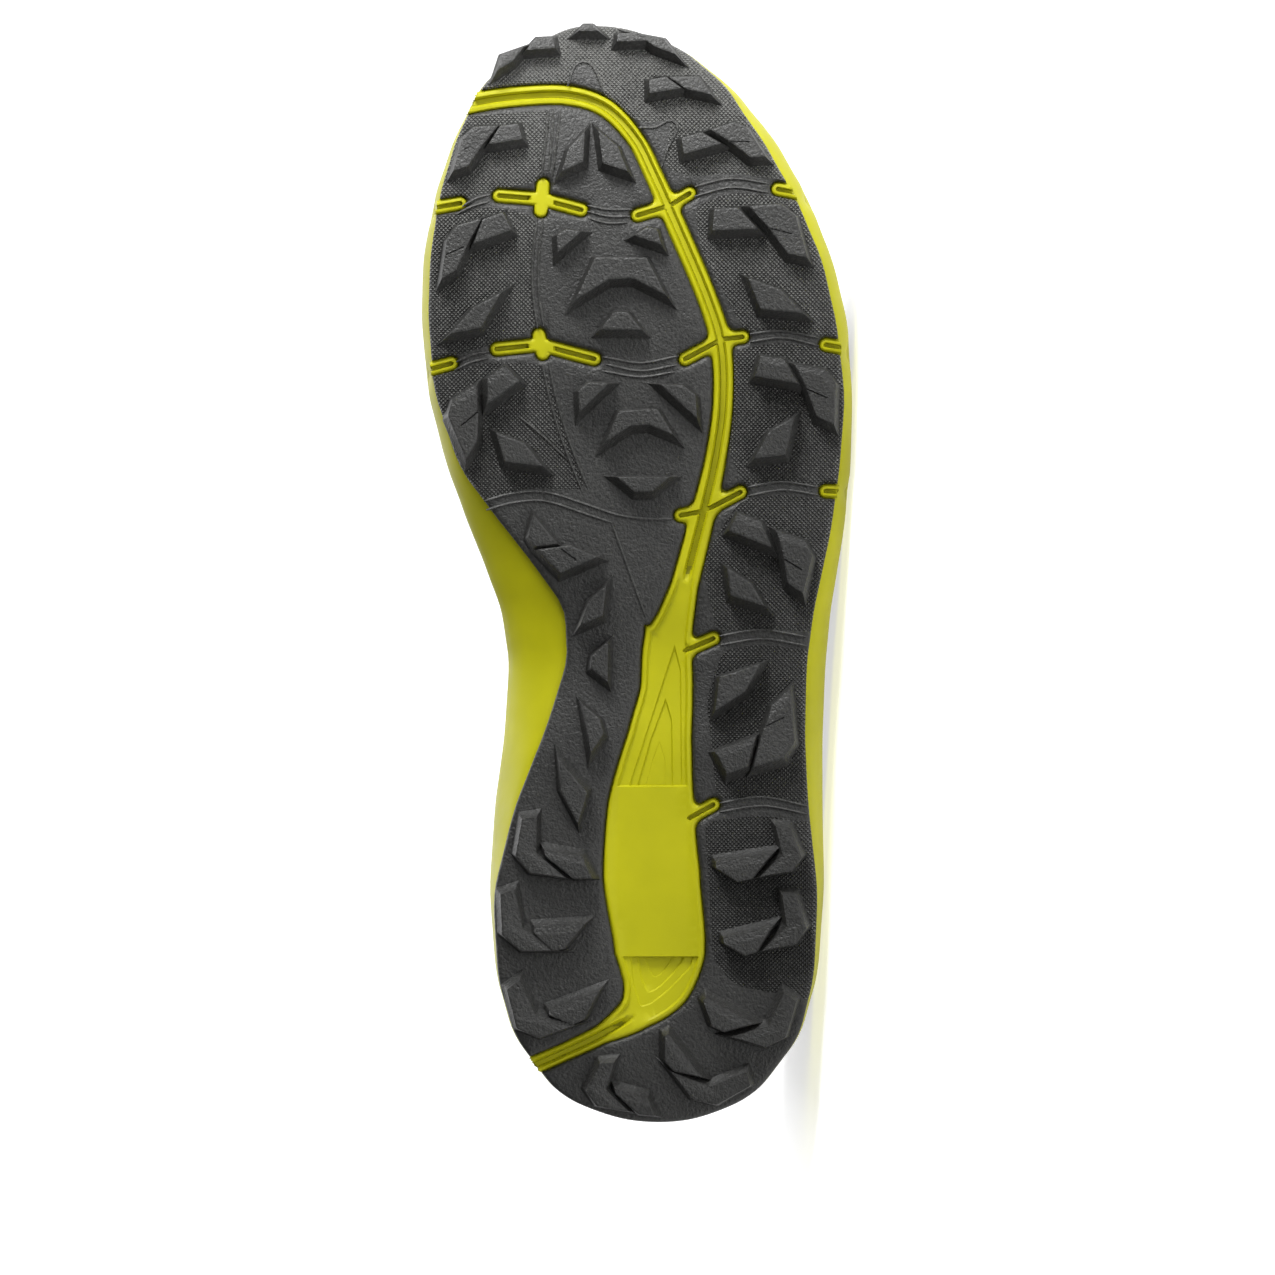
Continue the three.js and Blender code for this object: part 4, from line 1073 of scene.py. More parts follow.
def outsole(name, medial, points, triangles, knurls):
    """One plate of rubber with its lugs and fine ridges."""
    part, faces = kept(points, triangles, in_plate(medial))
    middles = part[faces].mean(1)
    knurled = np.zeros(len(faces), bool)
    for loop in knurls:
        knurled |= inside(middles, loop)
    field = rubber_depth(part, foam_depth(part))
    base = tread_height(part[:, 0])
    shell = Shell()
    slab(part, faces, base + plate_rise(field), base + PLATE, shell, knurled.astype(int))
    for row in LUGS:
        if is_medial(plan([[row[1], row[2]]]))[0] == medial:
            lug(row, shell)
    for places in RIDGES:
        if is_medial(from_photo([places[len(places) // 2]]))[0] == medial:
            ridge(places, shell)
    return shell.build(name, [rubber_plain, rubber_knurl, rubber_ridges_tone])


# Midsole


def notch_depth(points, side):
    """Small notches in the outline, beside the slots."""
    depth = np.zeros(len(points))
    for along, which in NOTCHES:
        if which * side > 0:
            away = (points[:, 0] - along * SOLE_LENGTH) / NOTCH_WIDTH
            depth += NOTCH_DEPTH * np.exp(-away ** 2)
    return depth


def midsole_side(turn):
    """Rings of the midsole's side, from the rubber's edge up and over the rim to the bed."""
    rubber = rubber_at(turn)
    lateral = np.where(turn <= np.pi, 1, -1)
    rings = []
    for out, up, groove in MIDSOLE_SIDE:
        wall = inset_at(turn, np.full(len(turn), SIDE_GROOVE * groove))
        notches = np.where(lateral > 0, notch_depth(wall, 1), notch_depth(wall, -1))
        wall = inset_at(turn, SIDE_GROOVE * groove + notches * (1 - smooth(*NOTCH_FADE, up)))
        flat = mix(rubber, wall, out)
        rings.append(np.column_stack([flat, mix(foam_height(flat[:, 0]), rim_height(flat[:, 0]), up)]))
    over_rim = [(RIM_ROUND, rim_height), (BED_INSET - RIM_SHOULDER, rim_height),
                (BED_INSET, rim_height), (BED_INSET, bed_height)]
    for inset, height in over_rim:
        flat = inset_at(turn, np.full(len(turn), inset))
        rings.append(np.column_stack([flat, height(flat[:, 0])]))
    return rings


def midsole():
    """The foam's side, rim and bed, with the strip that comes down through the rubber."""
    shell = Shell()
    count = MIDSOLE_POINTS
    rings = midsole_side(turns(count))
    faces = ring_faces(len(rings), count)
    first = mirrored_faces(count)
    last = (len(rings) - 1) * count
    faces += [tuple(reversed(face)) for face in first]
    faces += [tuple(last + i for i in face) for face in first]
    shell.add(np.vstack(rings), faces, 0)
    foam_strip(shell)
    return shell.build("midsole_foam", [foam_material, recess_shade_material])


def strip_test(middles):
    return (foam_depth(middles) > 0) & (depth_in(middles, rubber_loop) > -STRIP_OVERHANG)


def foam_strip(shell):
    """Foam that comes down through the rubber, with its lips, groove, slits and window."""
    parts = [grid.contour(foam_field, level) for level in FOAM_STEPS]
    middle = line_distance(grid.points, channel_line)
    outside_window = np.where(in_window(grid.points), 9.0, middle)
    parts += [grid.contour(outside_window, level) for level in GROOVE_STEPS]
    slits = slot_reach(grid.points, True)
    parts += [grid.contour(slits, level) for level in SLIT_STEPS]
    for loop, _ in window_steps + [(window_plate, 0)]:
        for side in (-STEP_WIDTH, STEP_WIDTH):
            parts.append(line_part(resampled(spread(loop, side), LOOP_STEP, True), True))
    parts.append(line_part(rubber_at(turns(MIDSOLE_POINTS)), True))
    points, triangles = triangulated(parts, flat_points())
    points, triangles = kept(points, triangles, strip_test)
    low = tread_height(points[:, 0]) + foam_relief(points, foam_depth(points))
    relief = (low - tread_height(points[:, 0]))[triangles].mean(1)
    # Faces deep in the groove and slits take the darker foam, as painted shade; the window stays plain
    deep_shaded = (relief > LIP_DROP + SHADE_RECESS_FROM * GROOVE_DEPTH) & ~in_window(points[triangles].mean(1))
    slab(points, triangles, low, foam_height(points[:, 0]) + STRIP_SUNK, shell, deep_shaded.astype(int))


def in_window(points):
    share = points[:, 0] / SOLE_LENGTH
    return (share > WINDOW_FROM + WINDOW_FADE_HEEL) & (share < WINDOW_TO)


# Upper

# Sections of the upper: level, then the share of the way in and up, over the toe and at the ankle
UPPER_RINGS = np.array([
    [0.00, 0.00, 0.00, 0.00, 0.00],
    [0.08, 0.00, 0.12, 0.00, 0.08],
    [0.15, -0.01, 0.23, -0.09, 0.16],
    [0.26, 0.01, 0.42, -0.12, 0.28],
    [0.28, 0.02, 0.44, -0.11, 0.30],
    [0.44, 0.13, 0.64, 0.03, 0.48],
    [0.58, 0.33, 0.77, 0.34, 0.64],
    [0.60, 0.36, 0.785, 0.38, 0.66],
    [0.76, 0.61, 0.89, 0.68, 0.80],
    [0.86, 0.78, 0.95, 0.84, 0.89],
    [0.88, 0.82, 0.96, 0.87, 0.91],
    [1.00, 1.00, 1.00, 1.00, 1.00],
])
DOME_FROM = 0.38
DOME_TO = 0.66

# Edge of the collar and throat: share from heel to toe, medial and lateral side, height
OPENING = np.array([
    [0.00, 0.09, 0.09, 1.00],
    [0.06, -0.20, 0.38, 0.96],
    [0.20, -0.37, 0.53, 0.84],
    [0.36, -0.38, 0.52, 0.80],
    [0.50, -0.35, 0.46, 0.92],
    [0.60, -0.31, 0.40, 1.10],
    [0.68, -0.28, 0.34, 1.08],
    [0.80, -0.25, 0.25, 0.93],
    [0.92, -0.20, 0.15, 0.78],
    [1.00, -0.04, -0.04, 0.70],
])

COLLAR_BACK = 0.028
THROAT_FRONT = 0.655
OPENING_LEAD = 0.75
RAND_TOP = 0.27
CAP_TOP = 0.59
TOE_CAP_FROM = (0.76, 0.90)
COUNTER_TO = (0.12, 0.28)
EYESTAY_FROM = 0.50
EYESTAY_FOOT = 0.87
OVERLAY_EDGE = 0.006
EYESTAY_EDGE = 0.004
COLLAR_PAD = 1.6
COLLAR_PAD_TO = 0.50
COLLAR_BAND = (0.72, 0.84)
COLLAR_FADE = (0.97, 1.0)
COLLAR_LINING_FROM = 0.86
LINING_PAD = 0.8
LIP_RISE = 0.9
LIP_CROWN = 0.35
WALL_ROWS = 64
UPPER_POINTS = 360
FORM_STEP = 0.03
FOOT_BAND = 0.05
TOE_FOLD = 0.16
TOE_PASSES = 40

# Soft creases: share of the length, and the levels between which each runs
CREASES = [(0.70, 0.30, 0.95), (0.745, 0.28, 0.85), (0.79, 0.30, 0.70), (0.30, 0.35, 0.72),
           (0.36, 0.30, 0.62)]
CREASE_DEPTH = 0.9
CREASE_WIDTH = 0.011
CREASE_SWAY = 0.02
CREASE_SWAY_RATE = 5
CREASE_BEND = 0.012
CREASE_START = 0.15
CREASE_END = 0.1
CREASE_SWELL = 0.5

# Lines of stitches on the upper, as places of share round the toe and row
STITCHES = [
    [(0.00, 0.245), (0.25, 0.245), (0.50, 0.245), (0.75, 0.245), (1.00, 0.245)],
    [(0.515, 0.99), (0.515, 0.93), (0.53, 0.885), (0.70, 0.885), (0.90, 0.885), (1.0, 0.885)],
    [(0.0, 0.845), (0.25, 0.845), (0.49, 0.845)],
]
STITCH_LENGTH = 2.3
STITCH_GAP = 1.0
STITCH_RADIUS = 0.3
STITCH_PLACES = 240

ring_curves = [through(UPPER_RINGS[:, 0], UPPER_RINGS[:, k]) for k in range(1, 5)]
opening_curves = [through(half_turn(OPENING[:, 0]), OPENING[:, k]) for k in range(1, 4)]


def opening_at(turn):
    share = share_of(turn) ** OPENING_LEAD
    x = mix(COLLAR_BACK, THROAT_FRONT, share) * SOLE_LENGTH
    at = half_turn(share)
    y = np.where(turn <= np.pi, opening_curves[1](at), opening_curves[0](at)) * HALF_WIDTH
    return np.stack([x, y, bed_height(x) + COLLAR_HEIGHT * opening_curves[2](at)], -1)


def form_point(turn, level):
    """Middle of the upper's form. turn and level are arrays of one shape."""
    around = np.mod(turn, 2 * np.pi)
    flat = inset_at(around, np.full(np.shape(around), BED_INSET + GAP + OVERLAY))
    foot = np.concatenate([flat, (bed_height(flat[..., 0]) + GAP)[..., None]], -1)
    edge = opening_at(around)
    dome = smooth(DOME_FROM, DOME_TO, share_of(around))
    inwards = mix(ring_curves[2](level), ring_curves[0](level), dome)
    upwards = mix(ring_curves[3](level), ring_curves[1](level), dome)
    ways = np.stack([inwards, inwards, upwards], -1)
    return mix(foot, edge, ways)


def unit(vectors):
    return vectors / np.maximum(np.linalg.norm(vectors, axis=-1, keepdims=True), 1e-9)


def upper_point(turn, level, distance):
    """Point at a distance outside the form, square to it."""
    turn, level, distance = np.broadcast_arrays(*np.atleast_1d(turn, level, distance))
    along = form_point(turn + FORM_STEP, level) - form_point(turn - FORM_STEP, level)
    low = np.clip(level - FORM_STEP, 0, 1 - 2 * FORM_STEP)
    up = form_point(turn, low + 2 * FORM_STEP) - form_point(turn, low)
    normal = np.cross(up, along)
    normal[..., 2] = np.where(level < FOOT_BAND, 0, normal[..., 2])
    return form_point(turn, level) + unit(normal) * distance[..., None]


def wall_level(turn, row):
    """Level of the wall at a row. The row at RAND_TOP follows the overlays' top edge."""
    share = share_of(turn)
    cap = smooth(*TOE_CAP_FROM, share) + 1 - smooth(*COUNTER_TO, share)
    top = mix(RAND_TOP, CAP_TOP, cap)
    below = row / RAND_TOP * top
    between = top + (row - RAND_TOP) / (EYESTAY_FOOT - RAND_TOP) * (EYESTAY_FOOT - top)
    return np.where(row < RAND_TOP, below, np.where(row < EYESTAY_FOOT, between, row))


def overlay_mask(turn, row):
    """1 where an overlay covers the wall, falling to 0 over its edge."""
    rand = 1 - smooth(RAND_TOP - OVERLAY_EDGE, RAND_TOP + OVERLAY_EDGE, row)
    eyestay = smooth(EYESTAY_FOOT - OVERLAY_EDGE, EYESTAY_FOOT + OVERLAY_EDGE, row)
    ending = smooth(EYESTAY_FROM - EYESTAY_EDGE, EYESTAY_FROM + EYESTAY_EDGE, share_of(turn))
    return np.maximum(rand, eyestay * ending)


def wall_rows():
    """Rows of the upper, closer where an overlay ends."""
    plain = np.linspace(0, 1, WALL_ROWS)
    edges = [at + OVERLAY_EDGE * np.linspace(-1, 1, 5) for at in (RAND_TOP, EYESTAY_FOOT)]
    return np.unique(np.round(np.concatenate([plain, *edges]), 4))


def collar_pad(turn, level):
    """Padding round the ankle."""
    back = 1 - smooth(COLLAR_PAD_TO - 0.1, COLLAR_PAD_TO + 0.05, share_of(turn))
    band = smooth(*COLLAR_BAND, level) * (1 - smooth(*COLLAR_FADE, level))
    return COLLAR_PAD * back * band


def crease(turn, level):
    """Soft troughs across the flex of the vamp and beside the ankle."""
    x = form_point(turn, level)[..., 0] / SOLE_LENGTH
    depth = np.zeros(np.shape(turn))
    for along, low, high in CREASES:
        bow = along + CREASE_SWAY * np.sin(level * CREASE_SWAY_RATE) + CREASE_BEND * np.cos(turn * 2)
        band = smooth(low, low + CREASE_START, level) * (1 - smooth(high - CREASE_END, high, level))
        depth += np.exp(-((x - bow) / CREASE_WIDTH) ** 2) * band
        depth -= CREASE_SWELL * np.exp(-((x - bow - 2 * CREASE_WIDTH) / CREASE_WIDTH) ** 2) * band
    return -CREASE_DEPTH * depth


def proud_of_form(turn, row, level, pad):
    """How far the upper's outside lies from its form."""
    return OVERLAY * overlay_mask(turn, row) + pad + crease(turn, level)


def stitches():
    """Rows of stitches sunk a little into the upper, on both sides."""
    shell = Shell()
    for line in STITCHES:
        path = np.array(line)
        at = np.linspace(0, len(path) - 1, STITCH_PLACES)
        share, row = (np.interp(at, np.arange(len(path)), path[:, k]) for k in range(2))
        for sign in (1, -1):
            turn = np.mod(sign * half_turn_back(share), 2 * np.pi)
            level = wall_level(turn, row)
            proud = proud_of_form(turn, row, level, collar_pad(turn, level))
            stitch_row(upper_point(turn, level, proud), shell)
    return shell.build("upper_stitches", [thread_material], CORD_EDGE)


def half_turn_back(share):
    """Turn at which share_of gives this share."""
    around = np.linspace(0, np.pi, 400)
    return np.interp(share, share_of(around), around)


def stitch_row(line, shell):
    """Short beads of thread along a line."""
    for start in np.arange(0.5, lengths_along(line)[-1] - STITCH_LENGTH, STITCH_LENGTH + STITCH_GAP):
        bead = places_along(line, start + STITCH_LENGTH * np.linspace(0, 1, 4))
        tube(bead, STITCH_RADIUS, STITCH_SIDES, shell)


def softened_toe(rings, turn):
    """Rings with the fold along the middle of the toe smoothed out."""
    near = np.exp(-((turn - np.pi) / TOE_FOLD) ** 2)[..., None]
    for _ in range(TOE_PASSES):
        beside = (np.roll(rings, 1, axis=1) + np.roll(rings, -1, axis=1)) / 2
        rings = mix(rings, beside, 0.5 * near)
    return rings


def upper():
    """One closed skin: up the outside, over the lip, down the lining and under the foot edge."""
    count = UPPER_POINTS
    rows = wall_rows()
    edge_turn = turns(count)
    turn, row = np.meshgrid(edge_turn, rows)
    level = wall_level(turn, row)
    pad = collar_pad(turn, level)
    outer = softened_toe(upper_point(turn, level, proud_of_form(turn, row, level, pad)), turn)
    inner = softened_toe(upper_point(turn, level, -WALL - LINING_PAD * pad), turn)[::-1]
    rim_out = upper_point(edge_turn, np.ones(count), np.zeros(count))
    lip = upper_point(edge_turn, np.ones(count), np.full(count, -WALL / 2))
    lip[:, 2] += LIP_RISE
    rings = [*outer, 0.5 * (rim_out + lip) + [0, 0, LIP_CROWN], lip, *inner]
    faces = looped_faces(len(rings), count)
    shell = Shell()
    shell.add(np.vstack(rings), faces, upper_materials(rows, count, len(faces)))
    return shell


def upper_materials(rows, count, total):
    """Material of each face of the upper: 0 mesh, 1 overlay, 2 lining."""
    chosen = np.full(total, 2)
    middle = (rows[:-1] + rows[1:]) / 2
    turn, row = np.meshgrid(turns(count) + np.pi / count, middle)
    outside = np.where(overlay_mask(turn, row) > 0.05, 1, 0)
    collar = (row > COLLAR_LINING_FROM) & (share_of(turn) < COLLAR_PAD_TO)
    outside[collar] = 2
    chosen[:outside.size] = outside.ravel()
    return chosen


# Eyelets and laces

EYELET_ROWS = 5
EYELET_FROM = 0.53
EYELET_TO = 0.82
EYELET_LEVEL = 0.94
LACE_ARCH = 5.0
LACE_ABOVE = OVERLAY + LACE_DIAMETER / 2 + 0.2
LACE_BELOW = WALL + 0.6
LACE_LEAD = 1.2
LACE_SIDES = 12
EYELET_SIDES = 24
STITCH_SIDES = 6

# Section of the ring round an eyelet: radius, and height above the overlay
EYELET_RING = [(2.5, -2.4), (2.45, 0.2), (2.7, 0.55), (3.3, 0.6), (3.9, 0.3), (4.1, -0.5)]
EYELET_RING_POINTS = 28


def eyelet_turn(row, lateral):
    turn = math.pi * mix(EYELET_TO, EYELET_FROM, row / (EYELET_ROWS - 1))
    return turn if lateral else 2 * math.pi - turn


def eyelet_point(row, lateral, distance):
    return upper_point(eyelet_turn(row, lateral), EYELET_LEVEL, distance)[0]


def tube(line, radius, sides, shell):
    """Closed tube along a line, with round ends."""
    line = np.asarray(line, float)
    tangent = unit(np.gradient(line, axis=0))
    side = np.cross(tangent[0], (0.3, 0.1, 1.0))
    rings = []
    for point, heading in zip(line, tangent):
        side = side - heading * (side @ heading)
        side /= np.linalg.norm(side)
        up = np.cross(heading, side)
        angles = turns(sides)
        circle = np.outer(np.cos(angles), side) + np.outer(np.sin(angles), up)
        rings.append(point + radius * circle)
    ends = [line[0] + 0.35 * (rings[0] - line[0]) - tangent[0] * radius * 0.6,
            line[-1] + 0.35 * (rings[-1] - line[-1]) + tangent[-1] * radius * 0.6]
    rings = [ends[0], *rings, ends[1]]
    shell.add(np.vstack(rings), capped_faces(len(rings), sides))


def lace_line(starts_lateral):
    """Line of a strand: it dips into each eyelet and arches over the tongue to the next row."""
    points = []
    for row in range(EYELET_ROWS):
        lateral = (row % 2 == 0) == starts_lateral
        into = eyelet_point(row, lateral, -LACE_BELOW)
        out = eyelet_point(row, lateral, LACE_ABOVE)
        if row:
            points += [lace_middle(points[-1], out), out]
        points.append(mix(into, out, 0.25) if row < EYELET_ROWS - 1 else into)
        if row < EYELET_ROWS - 1:
            points.append(out + np.array([LACE_LEAD, 0, 0]))
    return bent(points, 7)


def lace_middle(a, b):
    return (a + b) / 2 + np.array([0, 0, LACE_ARCH])


def laces():
    shell = Shell()
    for starts_lateral in (True, False):
        tube(lace_line(starts_lateral), LACE_DIAMETER / 2, LACE_SIDES, shell)
    ends = [eyelet_point(0, side, LACE_ABOVE) for side in (False, True)]
    tube(bent([ends[0], lace_middle(*ends), ends[1]], 10), LACE_DIAMETER / 2, LACE_SIDES, shell)
    return shell.build("lace_cord", [lace_material], CORD_EDGE)


def eyelet_ring(turn, shell):
    """Reinforced ring round an eyelet, on the outside of the wall."""
    here = [np.full(1, value) for value in (turn, EYELET_LEVEL)]
    centre = upper_point(*here, np.full(1, OVERLAY))[0]
    outward = unit(upper_point(*here, np.full(1, OVERLAY + 1))[0] - centre)
    side = unit(np.cross(outward, (1.0, 0, 0)))
    other = np.cross(outward, side)
    angles = turns(EYELET_RING_POINTS)
    circle = np.outer(np.cos(angles), side) + np.outer(np.sin(angles), other)
    rings = [centre + circle * radius + outward * height for radius, height in EYELET_RING]
    shell.add(np.vstack(rings), looped_faces(len(rings), len(angles)))


def punched(upper_object):
    """Cuts the eyelets through the upper."""
    shell = Shell()
    for row in range(EYELET_ROWS):
        for lateral in (True, False):
            ends = [eyelet_point(row, lateral, reach) for reach in (-3 * WALL, 3 * WALL)]
            tube(np.linspace(*ends, 4), EYELET_DIAMETER / 2, EYELET_SIDES, shell)
    subtract(upper_object, shell.build("eyelet_cutter", []), "EXACT")


# Tongue and insole

TONGUE_FROM = 0.83
TONGUE_TO = 0.50
TONGUE_FRONT_LEVEL = 0.80
TONGUE_LEAST_TUCK = 0.01
TONGUE_FRONT = [(0.10, 0.80), (0.13, 0.90), (0.155, 1.00)]
TONGUE_TOP = [(0.30, 1.00, 0.10), (0.62, 0.96, 0.20), (0.86, 0.84, 0.26), (1.00, 0.60, 0.30)]
TONGUE_ROWS = 10
TONGUE_COLUMNS = 24
TONGUE_UNTUCK_FROM = 0.35

# Puff of the tongue, as shares: its thinned edge, the seams along it, its cross seams and its top
PUFF_EDGE = 0.14
PUFF_LEAST = 0.25
SEAM_AT = 0.62
SEAM_WIDTH = 0.05
SEAM_DEPTH = 0.45
QUILTS = 9
QUILT_TO = 0.6
QUILT_WIDTH = 0.07
QUILT_DEPTH = 0.3
PUFF_END = 0.05
PUFF_END_LEAST = 0.3

# Rings of the insole's side: inset, and share of its thickness. Then how its top is dished.
INSOLE_SIDE = [(0.4, 0.0), (0.0, 0.12), (0.0, 0.85), (0.5, 1.0), (3, 1.0)]
INSOLE_TOP = (0.25, 0.5, 0.75, 0.97)
INSOLE_DISH = 0.9
INSOLE_POINTS = 240


def under_wall(turn, level):
    return upper_point(turn, level, -WALL - SOFT_GAP)[0]


def tongue_row(path):
    """Even points across the tongue, on a curve through a few places."""
    line = bent(path, 12)
    return places_along(line, np.linspace(0, lengths_along(line)[-1], TONGUE_COLUMNS + 1))


def throat_row(turn, tuck):
    levels = (1 - tuck, 1 - tuck / 2, 1)
    medial = [under_wall(2 * math.pi - turn, level) for level in levels]
    lateral = [under_wall(turn, level) for level in levels[::-1]]
    middle = (medial[-1] + lateral[0]) / 2
    middle[2] += TONGUE_CROWN * np.linalg.norm(medial[-1] - lateral[0])
    return tongue_row([*medial, middle, *lateral])


def front_row(reach, level):
    path = [under_wall(math.pi * (1 - reach * side), mix(level, TONGUE_FRONT_LEVEL, abs(side)))
            for side in (-1, -0.5, 0, 0.5, 1)]
    return tongue_row(path)


def tongue_top(last, before):
    """Rows of the part that stands free above the throat."""
    middle = TONGUE_COLUMNS // 2
    rise = unit(last[middle] - before[middle])
    rows = []
    for share, width, upright in TONGUE_TOP:
        heading = unit(mix(rise, np.array([0, 0, 1.0]), upright))
        moved = last + heading * share * TONGUE_TOP_LENGTH
        moved[:, 1] = mix(last[middle, 1], moved[:, 1], width)
        rows.append(moved)
    return rows


def tongue():
    """Padded sheet under the vamp and the eyestays."""
    rows = [front_row(*row) for row in TONGUE_FRONT]
    for i in range(TONGUE_ROWS):
        share = i / (TONGUE_ROWS - 1)
        tucked = 1 - float(smooth(TONGUE_UNTUCK_FROM, 1, share))
        tuck = (1 - TONGUE_FRONT_LEVEL) * tucked + TONGUE_LEAST_TUCK
        rows.append(throat_row(math.pi * mix(TONGUE_FROM, TONGUE_TO, share), tuck))
    rows += tongue_top(rows[-1], rows[-2])
    sheet = smoothed_rows(np.array(rows), 4)
    along = np.gradient(sheet, axis=0)
    across = np.gradient(sheet, axis=1)
    normal = unit(np.cross(along, across))
    puff = tongue_puff(sheet.shape[0], sheet.shape[1])
    over = sheet
    under = sheet + normal * (TONGUE_THICKNESS * puff)[..., None]
    rings = [np.vstack([a, b[::-1]]) for a, b in zip(over, under)]
    count = len(rings[0])
    half = sheet.shape[1]
    faces = ring_faces(len(rings), count)
    ends = [(k, k + 1, count - k - 2, count - k - 1) for k in range(half - 1)]
    last = (len(rings) - 1) * count
    faces += [tuple(reversed(face)) for face in ends]
    faces += [tuple(last + i for i in face) for face in ends]
    shell = Shell()
    shell.add(np.vstack(rings), faces, 0)
    return shell.build("tongue_padded", [tongue_material], PADDED_EDGE)


def tongue_puff(rows, columns):
    """Thickness of the tongue as a share, drawn in along its seams."""
    r = np.linspace(0, 1, rows)[:, None]
    c = np.linspace(-1, 1, columns)[None, :]
    edge = np.minimum(1, (1 - np.abs(c)) / PUFF_EDGE) ** 0.5
    seam = 1 - SEAM_DEPTH * np.exp(-((np.abs(c) - SEAM_AT) / SEAM_WIDTH) ** 2)
    quilt = np.exp(-((np.mod(r * QUILTS, 1) - 0.5) / QUILT_WIDTH) ** 2) * (np.abs(c) < QUILT_TO)
    end = np.minimum(1, (1 - r) / PUFF_END) ** 0.5
    puff = np.maximum(PUFF_LEAST, edge * seam * (1 - QUILT_DEPTH * quilt))
    return puff * np.maximum(PUFF_END_LEAST, end)


def smoothed_rows(rows, per_span):
    """More rows, on smooth curves through the given ones."""
    columns = [bent(rows[:, k], per_span) for k in range(rows.shape[1])]
    return np.stack(columns, 1)


def insole():
    """Footbed with a dished top and softened edges."""
    count = INSOLE_POINTS
    turn = turns(count)
    edge = BED_INSET + GAP + OVERLAY + WALL + SOFT_GAP
    rings = []
    for inset, share in INSOLE_SIDE:
        flat = inset_at(turn, np.full(count, edge + inset))
        rings.append(np.column_stack([flat, bed_height(flat[:, 0]) + GAP + INSOLE_THICKNESS * share]))
    outer = rings[-1]
    spine = outer.copy()
    spine[:, 1] = 0.5 * (outer[:, 1] + np.roll(outer[::-1], 1, axis=0)[:, 1])
    for share in INSOLE_TOP:
        ring = mix(outer, spine, share)
        ring[:, 2] -= INSOLE_DISH * math.sin(share * math.pi / 2)
        rings.append(ring)
    faces = ring_faces(len(rings), count)
    first = mirrored_faces(count)
    top = (len(rings) - 1) * count
    faces += [tuple(top + i for i in face) for face in first]
    faces += [tuple(reversed(face)) for face in first]
    shell = Shell()
    shell.add(np.vstack(rings), faces, 0)
    return shell.build("insole_board", [insole_material], PADDED_EDGE)


# Materials

RUBBER_STOPS = [(0.0, (0.010, 0.010, 0.0095)), (0.35, (0.023, 0.023, 0.0215)),
                (0.7, (0.050, 0.050, 0.047)), (1.0, (0.21, 0.21, 0.20))]
FOAM_DARK = (0.37, 0.36, 0.002)
FOAM_LIGHT = (0.44, 0.425, 0.003)
# Darker foam for the deep groove and slits, as painted shade
RECESS_SHADE_DARK = (0.19, 0.185, 0.001)
RECESS_SHADE_LIGHT = (0.24, 0.235, 0.002)
# Lace: lighter on the strands, darker in the hollows between them as painted shade
LACE_HOLLOW_SHADE = (0.25, 0.25, 0.012)
LACE_LIGHT = (0.50, 0.49, 0.03)
KNURL_PITCH = 1.15
BRAID_PITCH = 1.1


class Nodes:
    """A material's node tree, with short ways to add nodes to it.

    Its places are in the shoe's own frame, in metres.
    """

    def __init__(self, name):
        self.material = bpy.data.materials.new(name)
        self.material.use_nodes = True
        self.tree = self.material.node_tree
        self.shader = self.tree.nodes["Principled BSDF"]
        place = self.tree.nodes.new("ShaderNodeTexCoord").outputs["Object"]
        to_shoe = self.add("ShaderNodeMapping")
        inverse = shoe_matrix.inverted()
        to_shoe.inputs["Location"].default_value = inverse.to_translation()
        to_shoe.inputs["Rotation"].default_value = inverse.to_euler()
        self.link(place, to_shoe.inputs["Vector"])
        self.place = to_shoe.outputs[0]

    def add(self, kind, **settings):
        node = self.tree.nodes.new(kind)
        for key, value in settings.items():
            setattr(node, key, value)
        return node

    def link(self, source, target):
        self.tree.links.new(source, target)

    def math(self, operation, a, b=None, c=None):
        node = self.add("ShaderNodeMath", operation=operation)
        for socket, value in zip(node.inputs, (a, b, c)):
            if value is None:
                continue
            if hasattr(value, "is_linked"):
                self.link(value, socket)
            else:
                socket.default_value = value
        return node.outputs[0]

    def noise(self, size_mm, detail=2.0, roughness=0.5):
        """Noise with features of about a size, from 0 to 1."""
        mapping = self.add("ShaderNodeMapping")
        mapping.inputs["Scale"].default_value = [1000.0 / size_mm] * 3
        self.link(self.place, mapping.inputs["Vector"])
        node = self.add("ShaderNodeTexNoise")
        node.inputs["Scale"].default_value = 1.0
        node.inputs["Detail"].default_value = detail
        node.inputs["Roughness"].default_value = roughness
        self.link(mapping.outputs[0], node.inputs["Vector"])
        return node.outputs["Fac"]

    def axes(self):
        node = self.add("ShaderNodeSeparateXYZ")
        self.link(self.place, node.inputs[0])
        return node.outputs

    def ramp(self, value, stops):
        node = self.add("ShaderNodeValToRGB")
        elements = node.color_ramp.elements
        while len(elements) < len(stops):
            elements.new(0.5)
        for element, (at, colour) in zip(elements, stops):
            element.position = at
            element.color = (*colour, 1)
        self.link(value, node.inputs[0])
        return node.outputs[0]

    def bump(self, height, distance_mm, strength=1.0, below=None):
        node = self.add("ShaderNodeBump")
        node.inputs["Strength"].default_value = strength
        node.inputs["Distance"].default_value = distance_mm * 0.001
        self.link(height, node.inputs["Height"])
        if below is not None:
            self.link(below, node.inputs["Normal"])
        return node.outputs[0]

    def finish(self, colour=None, roughness=None, normal=None, **plain):
        if colour is not None:
            self.link(colour, self.shader.inputs["Base Color"])
        if roughness is not None:
            self.link(roughness, self.shader.inputs["Roughness"])
        if normal is not None:
            self.link(normal, self.shader.inputs["Normal"])
        for key, value in plain.items():
            self.shader.inputs[key.replace("_", " ")].default_value = value
        return self.material


def wave(nodes, value, pitch_mm):
    """Triangle wave from 0 to 1 along a value in metres."""
    folded = nodes.math("PINGPONG", value, pitch_mm * 0.0005)
    return nodes.math("DIVIDE", folded, pitch_mm * 0.0005)


